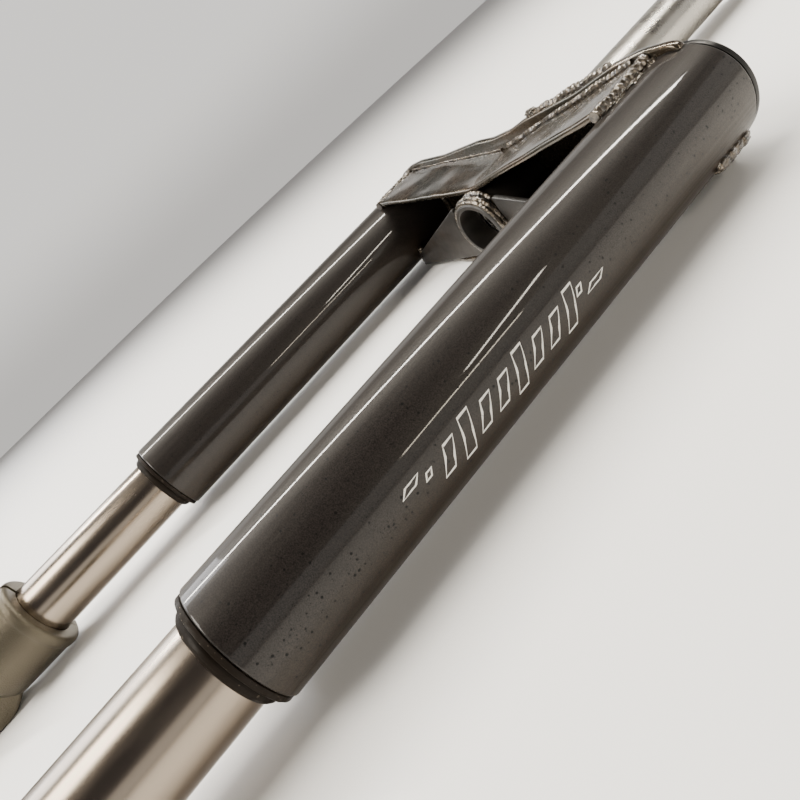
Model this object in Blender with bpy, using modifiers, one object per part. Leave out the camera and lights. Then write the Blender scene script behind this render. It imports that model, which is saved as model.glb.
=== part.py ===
"""Upside-down telescopic fork of the moped kind, lying on its back as on a bench.

World frame: +Y runs from the wheel end to the steerer, +Z is the front of the fork and points up, +X is the
rider's left.  The origin is the centre of the bottom of the fork's box.  Lengths are in metres.

Every piece is drawn in one of five frames, each an empty: the two legs, their two sliders, and the crown.
In each of them local +Z runs up the legs, its zero is the outer tubes' lower rim, and local -Y is the front.
"""

from math import asin, cos, degrees, pi, radians, sin, sqrt

import bmesh
import bpy
from mathutils import Matrix, Vector

NAME = "suspension_fork"

# Layout
LEG_SPACING = 0.181
TRAVEL = 0.060
SEGMENTS = 32
SMALL_SEGMENTS = 20
GAP = 0.0003  # between pieces that touch

# Outer tubes
TUBE_RADIUS = 0.020
TUBE_BORE = 0.018
TUBE_TOP = 0.220

# Stanchions, their bushes and seals
STANCHION_RADIUS = 0.015
STANCHION_BORE = 0.0128
STANCHION_TOP = 0.062
STANCHION_END = -0.1177
FLANGE_RADIUS = 0.0194
FLANGE_HEIGHT = 0.0017
SEAL_RADIUS = 0.0171
SEAL_LIP = -0.0056
BUSH_BOTTOM = 0.004
BUSH_TOP = 0.026
PISTON_TOP = 0.080
PISTON_SPIGOT = 0.054

# Spring, guide rod and top cap
SPRING_TOP = 0.190
SPRING_RADIUS = 0.0154
SPRING_WIRE = 0.0019
SPRING_TURNS = 10
SPRING_STEPS = 10
SPACER_RADIUS = 0.0168
SPACER_BORE = 0.0138
ROD_RADIUS = 0.005
ROD_HEAD_RADIUS = 0.009
ROD_HEAD_BOTTOM = 0.040
ROD_HEAD_TOP = 0.046
CAP_BOTTOM = 0.204
CAP_RIM_TOP = 0.223
CAP_HEX_TOP = 0.230
CAP_HEX_ACROSS = 0.024
CAP_HOLE = 0.008
CAP_RIM_CHAMFER = 0.0008
GROOVE_DEPTH = 0.0019
GROOVE_HALF = 0.0013
RING_RADIUS = 0.0009
RING_HEIGHT = 0.2155
RING_SIDES = 8

# Feet
COLLAR_TOP = -0.085
COLLAR_BOTTOM = -0.122
COLLAR_RADIUS = 0.0213
SOCKET_FLOOR = -0.118
AXLE_HEIGHT = -0.145
AXLE_SLOT = 0.012
EYE_RADIUS = 0.018
FOOT_THICKNESS = 0.020
REST_DEPTH = 0.0238  # from the legs' plane back to the surface that the fork lies on
EAR_TOP = -0.093
EAR_BOTTOM = -0.113
EAR_FRONT = 0.0305
EAR_WIDTH = 0.018
NECK_FRONT = 0.0155  # the web's front and back where it leaves the collar
NECK_BACK = 0.0165
HEEL_TOP = AXLE_HEIGHT + 0.018
HEEL_BOTTOM = AXLE_HEIGHT - 0.006
SLIT = 0.0025
PINCH_HEIGHT = -0.103
PINCH_FRONT = 0.0256
PINCH_RADIUS = 0.003
PINCH_ACROSS = 0.010
PINCH_HEAD = 0.004
PINCH_NUT = 0.0045
LUG_REACH = 0.028
LUG_HEIGHT = -0.113
LUG_SIZE = 0.012

# Crown
STEERER_BACK = 0.006  # the steerer's axis lies this far behind the legs' plane
SLEEVE_RADIUS = 0.015
SLEEVE_BORE = 0.0133
SLEEVE_MOUTH = 0.0123
SLEEVE_BOTTOM = 0.1795
SLEEVE_SHOULDER = 0.192
SLEEVE_TOP = 0.222
STEERER_RADIUS = 0.013
STEERER_BORE = 0.0107
STEERER_TOP = 0.397
RACE_RADIUS = 0.0175
RACE_TOP = 0.232
PLATE_TOP = 0.2195
PLATE_THICKNESS = 0.0035
PLATE_REACH = 0.097
# The top plate's front edge, as (distance from the middle, distance in front of the legs' plane)
PLATE_EDGE = (
    (0.007, 0.0186),
    (0.018, 0.0203),
    (0.050, 0.0214),
    (0.071, 0.0242),
    (0.083, 0.0242),
    (0.094, 0.0222),
)
SHEET = 0.0028
FRONT_BOTTOM = 0.187
FRONT_REACH = 0.084
FRONT_DIP = 0.0093  # the dished sheet's inner face stands this far in front of the legs' plane at the middle
FRONT_RISE = 0.0196  # and this far at its two ends
REAR_SHEET = 0.0025
REAR_REACH = 0.086
REAR_LOW = 0.183
REAR_HIGH = 0.193
REAR_DIP = 0.034  # half the length of the lower edge's low stretch
WEB_BOTTOM = 0.1832
WEB_TIP = (0.071, 0.012)
WEB_FOOT = 0.077
CUT_TOP = 0.26  # how far the cutters of the top plate reach
CUT_BOTTOM = 0.15

FOOT_END = AXLE_HEIGHT - sqrt(EYE_RADIUS**2 - (AXLE_SLOT / 2) ** 2)
MIDDLE = (STEERER_TOP + FOOT_END) / 2

LACQUER = ("lacquered_steel", (0.026, 0.023, 0.021), 0.30, 0.6)
CROWN_STEEL = ("lacquered_sheet_steel", (0.075, 0.070, 0.060), 0.38, 0.8)
CHROME = ("hard_chrome", (0.55, 0.52, 0.48), 0.12, 1.0)
CAST = ("cast_aluminium", (0.33, 0.31, 0.27), 0.55, 0.9)
RUBBER = ("rubber", (0.012, 0.011, 0.010), 0.60, 0.0)
NYLON = ("nylon", (0.62, 0.60, 0.52), 0.45, 0.0)
SPRING_STEEL = ("spring_steel", (0.16, 0.16, 0.17), 0.35, 1.0)
TURNED_STEEL = ("turned_steel", (0.42, 0.41, 0.39), 0.30, 1.0)
ZINC = ("zinc_plated_steel", (0.50, 0.50, 0.48), 0.32, 1.0)

parts = None
cutters = None


def new_collections():
    """Empties the scene, and gives it one collection for the parts and one for the cutters."""
    global parts, cutters
    for obj in list(bpy.data.objects):
        bpy.data.objects.remove(obj, do_unlink=True)
    parts = bpy.data.collections.new(NAME)
    cutters = bpy.data.collections.new("cutters")
    bpy.context.scene.collection.children.link(parts)
    bpy.context.scene.collection.children.link(cutters)


def material_of(name, colour, roughness, metallic):
    """A Principled material."""
    material = bpy.data.materials.new(name)
    material.use_nodes = True
    shader = material.node_tree.nodes["Principled BSDF"]
    shader.inputs["Base Color"].default_value = (*colour, 1)
    shader.inputs["Roughness"].default_value = roughness
    shader.inputs["Metallic"].default_value = metallic
    return material


def new_frame(name, x, back=0.0):
    """An empty on an axis that runs up the legs: x across, and so far behind the legs' plane."""
    frame = bpy.data.objects.new(name, None)
    frame.empty_display_size = 0.03
    frame.location = (x, -MIDDLE, REST_DEPTH - back)
    frame.rotation_euler = (-pi / 2, 0, 0)
    parts.objects.link(frame)
    return frame


def new_piece(name, mesh, finish, frame):
    """A visible piece in its own node, with its own material. Without a finish it is a cutter."""
    piece = bpy.data.objects.new(name, mesh)
    piece.parent = frame
    if finish is None:
        piece.hide_render = True
        piece.display_type = "WIRE"
        cutters.objects.link(piece)
        return piece
    parts.objects.link(piece)
    kind, colour, roughness, metallic = finish
    mesh.materials.append(material_of(f"{name}_{kind}", colour, roughness, metallic))
    return piece


def mesh_from(bm, name):
    """The mesh of a bmesh, which is freed."""
    mesh = bpy.data.meshes.new(name)
    bm.to_mesh(mesh)
    bm.free()
    return mesh


def turned(name, profile, finish, frame, segments=SEGMENTS):
    """A turned piece. The profile's (radius, height) points run down its outer side, then up its bore."""
    bm = bmesh.new()
    rim = [bm.verts.new((radius, 0, height)) for radius, height in profile]
    for first, second in zip(rim, rim[1:]):
        bm.edges.new((first, second))
    if profile[0][0] > 0:
        bm.edges.new((rim[-1], rim[0]))
    piece = new_piece(name, mesh_from(bm, name), finish, frame)
    turn = piece.modifiers.new("Turn", "SCREW")
    turn.steps = segments
    turn.render_steps = segments
    turn.use_merge_vertices = True
    turn.merge_threshold = 0.00001
    turn.use_smooth_shade = False
    return piece


def tube_profile(radius, bore, bottom, top, chamfer=0.0):
    """A plain tube. With a chamfer, its two outer edges are broken."""
    outside = [(radius, top), (radius, bottom)]
    if chamfer:
        outside = [
            (radius - chamfer, top),
            (radius, top - chamfer),
            (radius, bottom + chamfer),
            (radius - chamfer, bottom),
        ]
    return outside + [(bore, bottom), (bore, top)]


def flat(name, outline, thickness, finish, frame, axes, centre=(0, 0, 0)):
    """A flat plate: its outline's two coordinates and its thickness lie along the three axes given."""
    curve = bpy.data.curves.new(name, "CURVE")
    curve.dimensions = "2D"
    curve.fill_mode = "BOTH"
    curve.extrude = thickness / 2
    spline = curve.splines.new("POLY")
    spline.points.add(len(outline) - 1)
    for point, (a, b) in zip(spline.points, outline):
        point.co = (a, b, 0, 1)
    spline.use_cyclic_u = True
    drawn = bpy.data.objects.new(name, curve)
    parts.objects.link(drawn)
    depsgraph = bpy.context.evaluated_depsgraph_get()
    mesh = bpy.data.meshes.new_from_object(drawn.evaluated_get(depsgraph))
    bpy.data.objects.remove(drawn)
    bpy.data.curves.remove(curve)
    bm = bmesh.new()
    bm.from_mesh(mesh)
    bpy.data.meshes.remove(mesh)
    bmesh.ops.remove_doubles(bm, verts=bm.verts, dist=0.000001)
    turn = Matrix([Vector(axis) for axis in axes]).transposed().to_4x4()
    bmesh.ops.transform(bm, matrix=Matrix.Translation(centre) @ turn, verts=bm.verts)
    bmesh.ops.recalc_face_normals(bm, faces=bm.faces)
    mesh = mesh_from(bm, name)
    mesh.materials.clear()
    return new_piece(name, mesh, finish, frame)


def block(name, low, high, finish, frame):
    """A box between two corners."""
    bm = bmesh.new()
    bmesh.ops.create_cube(bm, size=1)
    low, high = Vector(low), Vector(high)
    bmesh.ops.scale(bm, vec=high - low, verts=bm.verts)
    bmesh.ops.translate(bm, vec=(high + low) / 2, verts=bm.verts)
    return new_piece(name, mesh_from(bm, name), finish, frame)


def rod_across(name, radius, centre, length, finish, frame, sides=SMALL_SEGMENTS):
    """A round or many-sided bar along X."""
    bm = bmesh.new()
    bmesh.ops.create_cone(
        bm, cap_ends=True, segments=sides, radius1=radius, radius2=radius, depth=length
    )
    place = Matrix.Translation(centre) @ Matrix.Rotation(pi / 2, 4, "Y")
    bmesh.ops.transform(bm, matrix=place, verts=bm.verts)
    return new_piece(name, mesh_from(bm, name), finish, frame)


def rounded(piece, width, segments=2):
    """Rounds a piece's edges."""
    bevel = piece.modifiers.new("Round", "BEVEL")
    bevel.width = width
    bevel.segments = segments
    bevel.limit_method = "ANGLE"
    bevel.angle_limit = radians(35)


def combined(piece, other, operation):
    """Joins another solid to a piece, or cuts it from the piece."""
    boolean = piece.modifiers.new(f"{operation.title()} {other.name}", "BOOLEAN")
    boolean.operation = operation
    boolean.object = other


def hex_radius(across):
    """From the middle of a hexagon to its corners."""
    return across / 2 / cos(pi / 6)


# The leg: what stays with the crown


def make_outer_tube(side, leg):
    """The fat lacquered tube, with a small chamfer at both ends."""
    turned(f"{side}_outer_tube", tube_profile(TUBE_RADIUS, TUBE_BORE, 0, TUBE_TOP, 0.0006), LACQUER, leg)


def make_seal_retainer(side, leg):
    """A thin flanged ring whose spigot sits in the tube's lower end."""
    inner = STANCHION_RADIUS + 2 * GAP
    spigot = TUBE_BORE - GAP
    profile = [
        (spigot, BUSH_BOTTOM - GAP),
        (spigot, -GAP),
        (FLANGE_RADIUS, -GAP),
        (FLANGE_RADIUS, -GAP - FLANGE_HEIGHT),
        (inner, -GAP - FLANGE_HEIGHT),
        (inner, BUSH_BOTTOM - GAP),
    ]
    turned(f"{side}_seal_retainer", profile, LACQUER, leg)


def make_dust_seal(side, leg):
    """The rubber wiper, rounded down to the stanchion."""
    inner = STANCHION_RADIUS + GAP
    top = -2 * GAP - FLANGE_HEIGHT
    profile = [
        (SEAL_RADIUS, top),
        (SEAL_RADIUS, top - 0.0012),
        (SEAL_RADIUS - 0.0004, SEAL_LIP + 0.0010),
        (inner + 0.0007, SEAL_LIP),
        (inner, SEAL_LIP),
        (inner, top),
    ]
    turned(f"{side}_dust_seal", profile, RUBBER, leg)


def make_lower_bush(side, leg):
    """The plastic bush that guides the stanchion at the tube's lower end."""
    profile = tube_profile(TUBE_BORE - GAP, STANCHION_RADIUS + GAP, BUSH_BOTTOM, BUSH_TOP)
    turned(f"{side}_lower_bush", profile, NYLON, leg)


def make_top_cap(side, leg):
    """The screwed plug, with a rim over the tube's end, a hexagon, a ring groove and the rod's blind hole."""
    body = TUBE_BORE - GAP
    groove = body - GROOVE_DEPTH
    hole = ROD_RADIUS + GAP
    rim = TUBE_RADIUS - 0.0004
    profile = [
        (0, CAP_RIM_TOP),
        (rim - CAP_RIM_CHAMFER, CAP_RIM_TOP),
        (rim, CAP_RIM_TOP - CAP_RIM_CHAMFER),
        (rim, TUBE_TOP + GAP),
        (body, TUBE_TOP + GAP),
        (body, RING_HEIGHT + GROOVE_HALF),
        (groove, RING_HEIGHT + GROOVE_HALF),
        (groove, RING_HEIGHT - GROOVE_HALF),
        (body, RING_HEIGHT - GROOVE_HALF),
        (body, CAP_BOTTOM),
        (hole, CAP_BOTTOM),
        (hole, CAP_BOTTOM + CAP_HOLE),
        (0, CAP_BOTTOM + CAP_HOLE),
    ]
    cap = turned(f"{side}_top_cap", profile, ZINC, leg)
    bm = bmesh.new()
    radius = hex_radius(CAP_HEX_ACROSS)
    low = CAP_RIM_TOP - 0.001
    bmesh.ops.create_cone(
        bm, cap_ends=True, segments=6, radius1=radius, radius2=radius, depth=CAP_HEX_TOP - low
    )
    bmesh.ops.translate(bm, vec=(0, 0, (CAP_HEX_TOP + low) / 2), verts=bm.verts)
    hexagon = new_piece(f"{side}_cap_hexagon", mesh_from(bm, "hexagon"), None, leg)
    combined(cap, hexagon, "UNION")


def make_cap_o_ring(side, leg):
    """The rubber ring in the top cap's groove."""
    middle = TUBE_BORE - GAP - GROOVE_DEPTH + GAP / 2 + RING_RADIUS
    angles = [-2 * pi * n / RING_SIDES for n in range(RING_SIDES)]
    profile = [(middle + RING_RADIUS * cos(a), RING_HEIGHT + RING_RADIUS * sin(a)) for a in angles]
    turned(f"{side}_cap_o_ring", profile, RUBBER, leg)


def make_preload_spacer(side, leg):
    """The tube between the top cap and the spring."""
    profile = tube_profile(SPACER_RADIUS, SPACER_BORE, SPRING_TOP + GAP, CAP_BOTTOM - GAP)
    turned(f"{side}_preload_spacer", profile, NYLON, leg)


def make_guide_rod(side, leg):
    """The rod from the top cap down through the piston, with the head that stops the stanchion."""
    top = CAP_BOTTOM + CAP_HOLE - GAP
    profile = [
        (0, top),
        (ROD_RADIUS, top),
        (ROD_RADIUS, ROD_HEAD_TOP),
        (ROD_HEAD_RADIUS, ROD_HEAD_TOP),
        (ROD_HEAD_RADIUS, ROD_HEAD_BOTTOM),
        (0, ROD_HEAD_BOTTOM),
    ]
    turned(f"{side}_guide_rod", profile, TURNED_STEEL, leg, SMALL_SEGMENTS)


def make_rebound_buffer(side, leg):
    """The rubber ring on the rod's head, which the piston meets at full stretch."""
    profile = tube_profile(
        ROD_HEAD_RADIUS, ROD_RADIUS + GAP, ROD_HEAD_TOP + GAP, PISTON_SPIGOT - GAP, 0.001
    )
    turned(f"{side}_rebound_buffer", profile, RUBBER, leg, SMALL_SEGMENTS)


def spring_point(turn):
    """A point on the coil, so many turns up from its lower end. The end turns are closed."""
    low = PISTON_TOP + GAP + SPRING_WIRE
    high = SPRING_TOP - SPRING_WIRE
    closed = 2 * SPRING_WIRE
    open_turns = SPRING_TURNS - 2
    rise = (high - low - 2 * closed) / open_turns
    if turn < 1:
        height = low + closed * turn
    elif turn < SPRING_TURNS - 1:
        height = low + closed + rise * (turn - 1)
    else:
        height = high - closed * (SPRING_TURNS - turn)
    angle = 2 * pi * turn
    return SPRING_RADIUS * cos(angle), SPRING_RADIUS * sin(angle), height


def make_main_spring(side, leg):
    """The coil spring between the piston and the preload spacer."""
    count = SPRING_TURNS * SPRING_STEPS + 1
    curve = bpy.data.curves.new(f"{side}_main_spring", "CURVE")
    curve.dimensions = "3D"
    curve.bevel_depth = SPRING_WIRE * 0.97
    curve.bevel_resolution = 1
    curve.use_fill_caps = True
    spline = curve.splines.new("POLY")
    spline.points.add(count - 1)
    for n, point in enumerate(spline.points):
        point.co = (*spring_point(n / SPRING_STEPS), 1)
    new_piece(curve.name, curve, SPRING_STEEL, leg)


# The slider: what moves up into the outer tube


def make_stanchion(side, slider):
    """The chromed tube."""
    profile = tube_profile(STANCHION_RADIUS, STANCHION_BORE, STANCHION_END, STANCHION_TOP)
    turned(f"{side}_stanchion", profile, CHROME, slider)


def make_guide_piston(side, slider):
    """The piston on the stanchion's top, which slides in the outer tube and on the rod."""
    profile = [
        (TUBE_BORE - GAP, PISTON_TOP),
        (TUBE_BORE - GAP, STANCHION_TOP + GAP),
        (STANCHION_BORE - GAP, STANCHION_TOP + GAP),
        (STANCHION_BORE - GAP, PISTON_SPIGOT),
        (ROD_RADIUS + GAP, PISTON_SPIGOT),
        (ROD_RADIUS + GAP, PISTON_TOP),
    ]
    turned(f"{side}_guide_piston", profile, NYLON, slider)


def arc(centre, radius, start, end, count):
    """Points on an arc, its angles in degrees."""
    angles = [radians(start + (end - start) * n / (count - 1)) for n in range(count)]
    return [(centre[0] + radius * cos(a), centre[1] + radius * sin(a)) for a in angles]


def foot_outline():
    """The foot's web from the side, as (front, height) points: the axle eye, its open slot and the heel."""
    slot = AXLE_SLOT / 2
    eye = (0, AXLE_HEIGHT)
    mouth = degrees(asin(slot / EYE_RADIUS))
    return (
        [(NECK_FRONT, EAR_BOTTOM), (EYE_RADIUS - 0.0002, AXLE_HEIGHT + slot)]
        + arc(eye, EYE_RADIUS, 0, mouth - 90, 7)
        + arc(eye, slot, 0, 180, 9)
        + arc(eye, EYE_RADIUS, -90 - mouth, -145, 4)
        + [(-REST_DEPTH, HEEL_BOTTOM), (-REST_DEPTH, HEEL_TOP), (-NECK_BACK, EAR_BOTTOM)]
    )


def collar_profile():
    """The solid collar, with a raised lip round its mouth."""
    lip = COLLAR_RADIUS + 0.0007
    return [
        (0, COLLAR_TOP),
        (lip - 0.0014, COLLAR_TOP),
        (lip, COLLAR_TOP - 0.0014),
        (lip, COLLAR_TOP - 0.0046),
        (COLLAR_RADIUS, COLLAR_TOP - 0.006),
        (COLLAR_RADIUS - 0.0006, COLLAR_BOTTOM + 0.004),
        (COLLAR_RADIUS - 0.004, COLLAR_BOTTOM),
        (0, COLLAR_BOTTOM),
    ]


def make_fork_foot(side, inward, slider):
    """The cast foot: a split collar with pinch ears, and a web with the axle slot and a heel."""
    name = f"{side}_fork_foot"
    foot = turned(name, collar_profile(), CAST, slider)
    web = flat(
        f"{side}_foot_web",
        foot_outline(),
        FOOT_THICKNESS,
        None,
        slider,
        ((0, -1, 0), (0, 0, 1), (1, 0, 0)),
    )
    rounded(web, 0.0015, 1)
    half = EAR_WIDTH / 2
    ears = block(
        f"{side}_foot_ears", (-half, -EAR_FRONT, EAR_BOTTOM), (half, -0.013, EAR_TOP), None, slider
    )
    rounded(ears, 0.003)
    combined(foot, web, "UNION")
    combined(foot, ears, "UNION")
    if side == "left":
        half = LUG_SIZE / 2
        reach = sorted((inward * LUG_REACH, inward * 0.015))
        lug = block(
            "brake_anchor_lug",
            (reach[0], -half, LUG_HEIGHT - half),
            (reach[1], half, LUG_HEIGHT + half),
            None,
            slider,
        )
        rounded(lug, 0.0015, 1)
        combined(foot, lug, "UNION")
    bore = STANCHION_RADIUS + GAP
    socket = turned(
        f"{side}_foot_socket",
        [(0, COLLAR_TOP + 0.01), (bore, COLLAR_TOP + 0.01), (bore, SOCKET_FLOOR), (0, SOCKET_FLOOR)],
        None,
        slider,
    )
    slit = block(
        f"{side}_foot_slit",
        (-SLIT / 2, -EAR_FRONT - 0.01, COLLAR_BOTTOM + 0.006),
        (SLIT / 2, -STANCHION_RADIUS + 0.003, COLLAR_TOP + 0.01),
        None,
        slider,
    )
    hole = rod_across(
        f"{side}_pinch_hole", PINCH_RADIUS + GAP, (0, -PINCH_FRONT, PINCH_HEIGHT), 0.04, None, slider
    )
    for cutter in (socket, slit, hole):
        combined(foot, cutter, "DIFFERENCE")


def make_pinch_bolt(side, inward, slider):
    """The hexagon bolt that closes the collar, with its head on the outer side."""
    head = EAR_WIDTH / 2 + GAP
    length = EAR_WIDTH + PINCH_HEAD + 0.003
    middle = -inward * (head + PINCH_HEAD - 0.0005 - length / 2)
    place = (middle, -PINCH_FRONT, PINCH_HEIGHT)
    bolt = rod_across(f"{side}_pinch_bolt", PINCH_RADIUS, place, length, ZINC, slider)
    hexagon = rod_across(
        f"{side}_bolt_hexagon",
        hex_radius(PINCH_ACROSS),
        (-inward * (head + PINCH_HEAD / 2), -PINCH_FRONT, PINCH_HEIGHT),
        PINCH_HEAD,
        None,
        slider,
        6,
    )
    combined(bolt, hexagon, "UNION")


def make_pinch_nut(side, inward, slider):
    """The nut on the inner side."""
    place = (inward * (EAR_WIDTH / 2 + GAP + PINCH_NUT / 2), -PINCH_FRONT, PINCH_HEIGHT)
    nut = rod_across(
        f"{side}_pinch_nut", hex_radius(PINCH_ACROSS), place, PINCH_NUT, ZINC, slider, 6
    )
    hole = rod_across(f"{side}_nut_hole", PINCH_RADIUS + GAP, place, 3 * PINCH_NUT, None, slider)
    combined(nut, hole, "DIFFERENCE")


# The crown


def tube_cutters(crown):
    """The two outer tubes as cutters, a gap larger than the tubes."""
    radius = TUBE_RADIUS + GAP
    profile = [(0, CUT_TOP), (radius, CUT_TOP), (radius, CUT_BOTTOM), (0, CUT_BOTTOM)]
    tubes = []
    for side, x in (("left", LEG_SPACING / 2), ("right", -LEG_SPACING / 2)):
        cutter = turned(f"{side}_tube_cutter", profile, None, crown)
        cutter.location = (x, 0, 0)
        tubes.append(cutter)
    return tubes


def make_crown_top_plate(crown, tubes):
    """The flat plate across the legs. Its straight front edge stands proud of the dished sheet."""
    edge = [(x, -front) for x, front in PLATE_EDGE]
    mirrored = [(-x, y) for x, y in reversed(edge)]
    corner = (PLATE_REACH, -TUBE_RADIUS)
    outline = (
        mirrored
        + edge
        + [corner, (PLATE_REACH, REST_DEPTH), (-PLATE_REACH, REST_DEPTH), (-corner[0], corner[1])]
    )
    plate = flat(
        "crown_top_plate",
        outline,
        PLATE_THICKNESS,
        CROWN_STEEL,
        crown,
        ((1, 0, 0), (0, 1, 0), (0, 0, 1)),
        (0, 0, PLATE_TOP - PLATE_THICKNESS / 2),
    )
    rounded(plate, 0.0008, 1)
    radius = SLEEVE_RADIUS + GAP
    profile = [(0, CUT_TOP), (radius, CUT_TOP), (radius, CUT_BOTTOM), (0, CUT_BOTTOM)]
    sleeve = turned("plate_sleeve_cutter", profile, None, crown)
    sleeve.location = (0, STEERER_BACK, 0)
    for cutter in (*tubes, sleeve):
        combined(plate, cutter, "DIFFERENCE")


def make_crown_front_plate(crown):
    """The front sheet, dished to a shallow V over the steerer."""
    inner = [(FRONT_REACH, -FRONT_RISE), (0, -FRONT_DIP), (-FRONT_REACH, -FRONT_RISE)]
    outer = [(x, y - SHEET) for x, y in reversed(inner)]
    top = PLATE_TOP - PLATE_THICKNESS - GAP
    plate = flat(
        "crown_front_plate",
        inner + outer,
        top - FRONT_BOTTOM,
        CROWN_STEEL,
        crown,
        ((1, 0, 0), (0, 1, 0), (0, 0, 1)),
        (0, 0, (top + FRONT_BOTTOM) / 2),
    )
    rounded(plate, 0.0009)


def make_crown_rear_plate(crown):
    """The rear sheet, whose lower edge drops towards the steerer."""
    top = PLATE_TOP - PLATE_THICKNESS - GAP
    outline = [
        (REAR_REACH, top),
        (REAR_REACH, REAR_HIGH),
        (REAR_DIP, REAR_LOW),
        (-REAR_DIP, REAR_LOW),
        (-REAR_REACH, REAR_HIGH),
        (-REAR_REACH, top),
    ]
    plate = flat(
        "crown_rear_plate",
        outline,
        REAR_SHEET,
        CROWN_STEEL,
        crown,
        ((1, 0, 0), (0, 0, 1), (0, -1, 0)),
        (0, REST_DEPTH - REAR_SHEET / 2, 0),
    )
    rounded(plate, 0.0006, 1)


def make_crown_web(side, out, crown):
    """A three-cornered sheet across the legs, from the steerer's sleeve to a tube."""
    back = REST_DEPTH - REAR_SHEET - GAP
    inner = SLEEVE_RADIUS + 0.0012
    outline = [(inner, -0.007), WEB_TIP, (WEB_FOOT, back), (inner, back)]
    flat(
        f"{side}_crown_web",
        [(out * x, y) for x, y in outline],
        REAR_SHEET,
        CROWN_STEEL,
        crown,
        ((1, 0, 0), (0, 1, 0), (0, 0, 1)),
        (0, 0, WEB_BOTTOM + REAR_SHEET / 2),
    )


def make_steerer_sleeve(axis):
    """The sleeve through the crown. Its bore steps out to take the steerer's end."""
    profile = [
        (SLEEVE_RADIUS, SLEEVE_TOP),
        (SLEEVE_RADIUS, SLEEVE_BOTTOM + 0.0008),
        (SLEEVE_RADIUS - 0.0008, SLEEVE_BOTTOM),
        (SLEEVE_MOUTH, SLEEVE_BOTTOM),
        (SLEEVE_MOUTH, SLEEVE_SHOULDER),
        (SLEEVE_BORE, SLEEVE_SHOULDER),
        (SLEEVE_BORE, SLEEVE_TOP),
    ]
    turned("steerer_sleeve", profile, CROWN_STEEL, axis)


def make_steerer_tube(axis):
    """The steerer, fixed in the sleeve."""
    profile = tube_profile(STEERER_RADIUS, STEERER_BORE, SLEEVE_SHOULDER + GAP, STEERER_TOP, 0.0008)
    turned("steerer_tube", profile, TURNED_STEEL, axis)


def make_crown_race(axis):
    """The lower headset race, pressed on the steerer above the crown."""
    bore = STEERER_RADIUS + GAP
    bottom = SLEEVE_TOP + GAP
    profile = [
        (RACE_RADIUS - 0.002, RACE_TOP),
        (RACE_RADIUS, RACE_TOP - 0.005),
        (RACE_RADIUS, bottom),
        (bore, bottom),
        (bore, RACE_TOP),
    ]
    turned("crown_race", profile, TURNED_STEEL, axis)


def make_leg(side, out):
    """One leg: the pieces fixed to the crown, and the slider."""
    leg = new_frame(f"{side}_leg", out * LEG_SPACING / 2)
    for make in (
        make_outer_tube,
        make_seal_retainer,
        make_dust_seal,
        make_lower_bush,
        make_top_cap,
        make_cap_o_ring,
        make_preload_spacer,
        make_guide_rod,
        make_rebound_buffer,
        make_main_spring,
    ):
        make(side, leg)
    slider = new_frame(f"{side}_slider", out * LEG_SPACING / 2)
    make_stanchion(side, slider)
    make_guide_piston(side, slider)
    for make in (make_fork_foot, make_pinch_bolt, make_pinch_nut):
        make(side, -out, slider)


def make_crown():
    """The welded sheet crown with the steerer."""
    crown = new_frame("crown", 0)
    tubes = tube_cutters(crown)
    make_crown_top_plate(crown, tubes)
    make_crown_front_plate(crown)
    make_crown_rear_plate(crown)
    for side, out in (("left", 1), ("right", -1)):
        make_crown_web(side, out, crown)
    axis = new_frame("steerer_axis", 0, STEERER_BACK)
    make_steerer_sleeve(axis)
    make_steerer_tube(axis)
    make_crown_race(axis)


def main():
    """Builds the fork."""
    new_collections()
    for side, out in (("left", 1), ("right", -1)):
        make_leg(side, out)
    make_crown()


main()
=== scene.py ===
"""Looks of the suspension fork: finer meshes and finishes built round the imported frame.

Lengths are in metres.  The legs run along +Y from the wheel end to the steerer, the fork's front is +Z,
and the rider's left is +X.  "Along" is a distance up a leg from its outer tube's lower rim, and "front" is
a distance in front of the plane that holds the two legs' axes.
"""

import logging
from collections.abc import Callable, Iterable
from dataclasses import dataclass
from enum import Enum
from math import atan2, ceil, cos, pi, radians, sin, sqrt
from random import Random

import bmesh
import bpy
from mathutils import Matrix, Vector, noise


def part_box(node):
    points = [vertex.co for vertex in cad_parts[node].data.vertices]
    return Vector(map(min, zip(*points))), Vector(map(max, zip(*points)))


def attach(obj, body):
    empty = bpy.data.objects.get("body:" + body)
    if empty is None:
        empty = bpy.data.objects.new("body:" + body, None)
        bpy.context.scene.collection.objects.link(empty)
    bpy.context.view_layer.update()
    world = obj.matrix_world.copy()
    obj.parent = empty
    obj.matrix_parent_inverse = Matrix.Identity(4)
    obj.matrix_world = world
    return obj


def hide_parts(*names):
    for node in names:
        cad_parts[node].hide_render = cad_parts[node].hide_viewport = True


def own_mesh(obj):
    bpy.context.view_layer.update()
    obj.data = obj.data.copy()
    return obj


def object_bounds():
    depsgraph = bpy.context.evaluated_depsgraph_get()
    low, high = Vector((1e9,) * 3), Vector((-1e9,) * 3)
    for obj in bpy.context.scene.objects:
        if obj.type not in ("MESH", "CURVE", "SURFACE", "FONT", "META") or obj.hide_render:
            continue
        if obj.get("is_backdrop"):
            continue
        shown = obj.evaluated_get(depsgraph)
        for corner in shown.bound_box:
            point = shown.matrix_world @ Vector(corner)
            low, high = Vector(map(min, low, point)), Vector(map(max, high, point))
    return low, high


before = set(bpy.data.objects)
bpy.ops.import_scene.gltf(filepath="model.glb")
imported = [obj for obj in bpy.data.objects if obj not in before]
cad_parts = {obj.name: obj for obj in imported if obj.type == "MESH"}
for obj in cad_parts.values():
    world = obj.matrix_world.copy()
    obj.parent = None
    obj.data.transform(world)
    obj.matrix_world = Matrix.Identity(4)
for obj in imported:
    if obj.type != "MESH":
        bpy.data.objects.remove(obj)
CAD_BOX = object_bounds()

MM = 0.001
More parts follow.
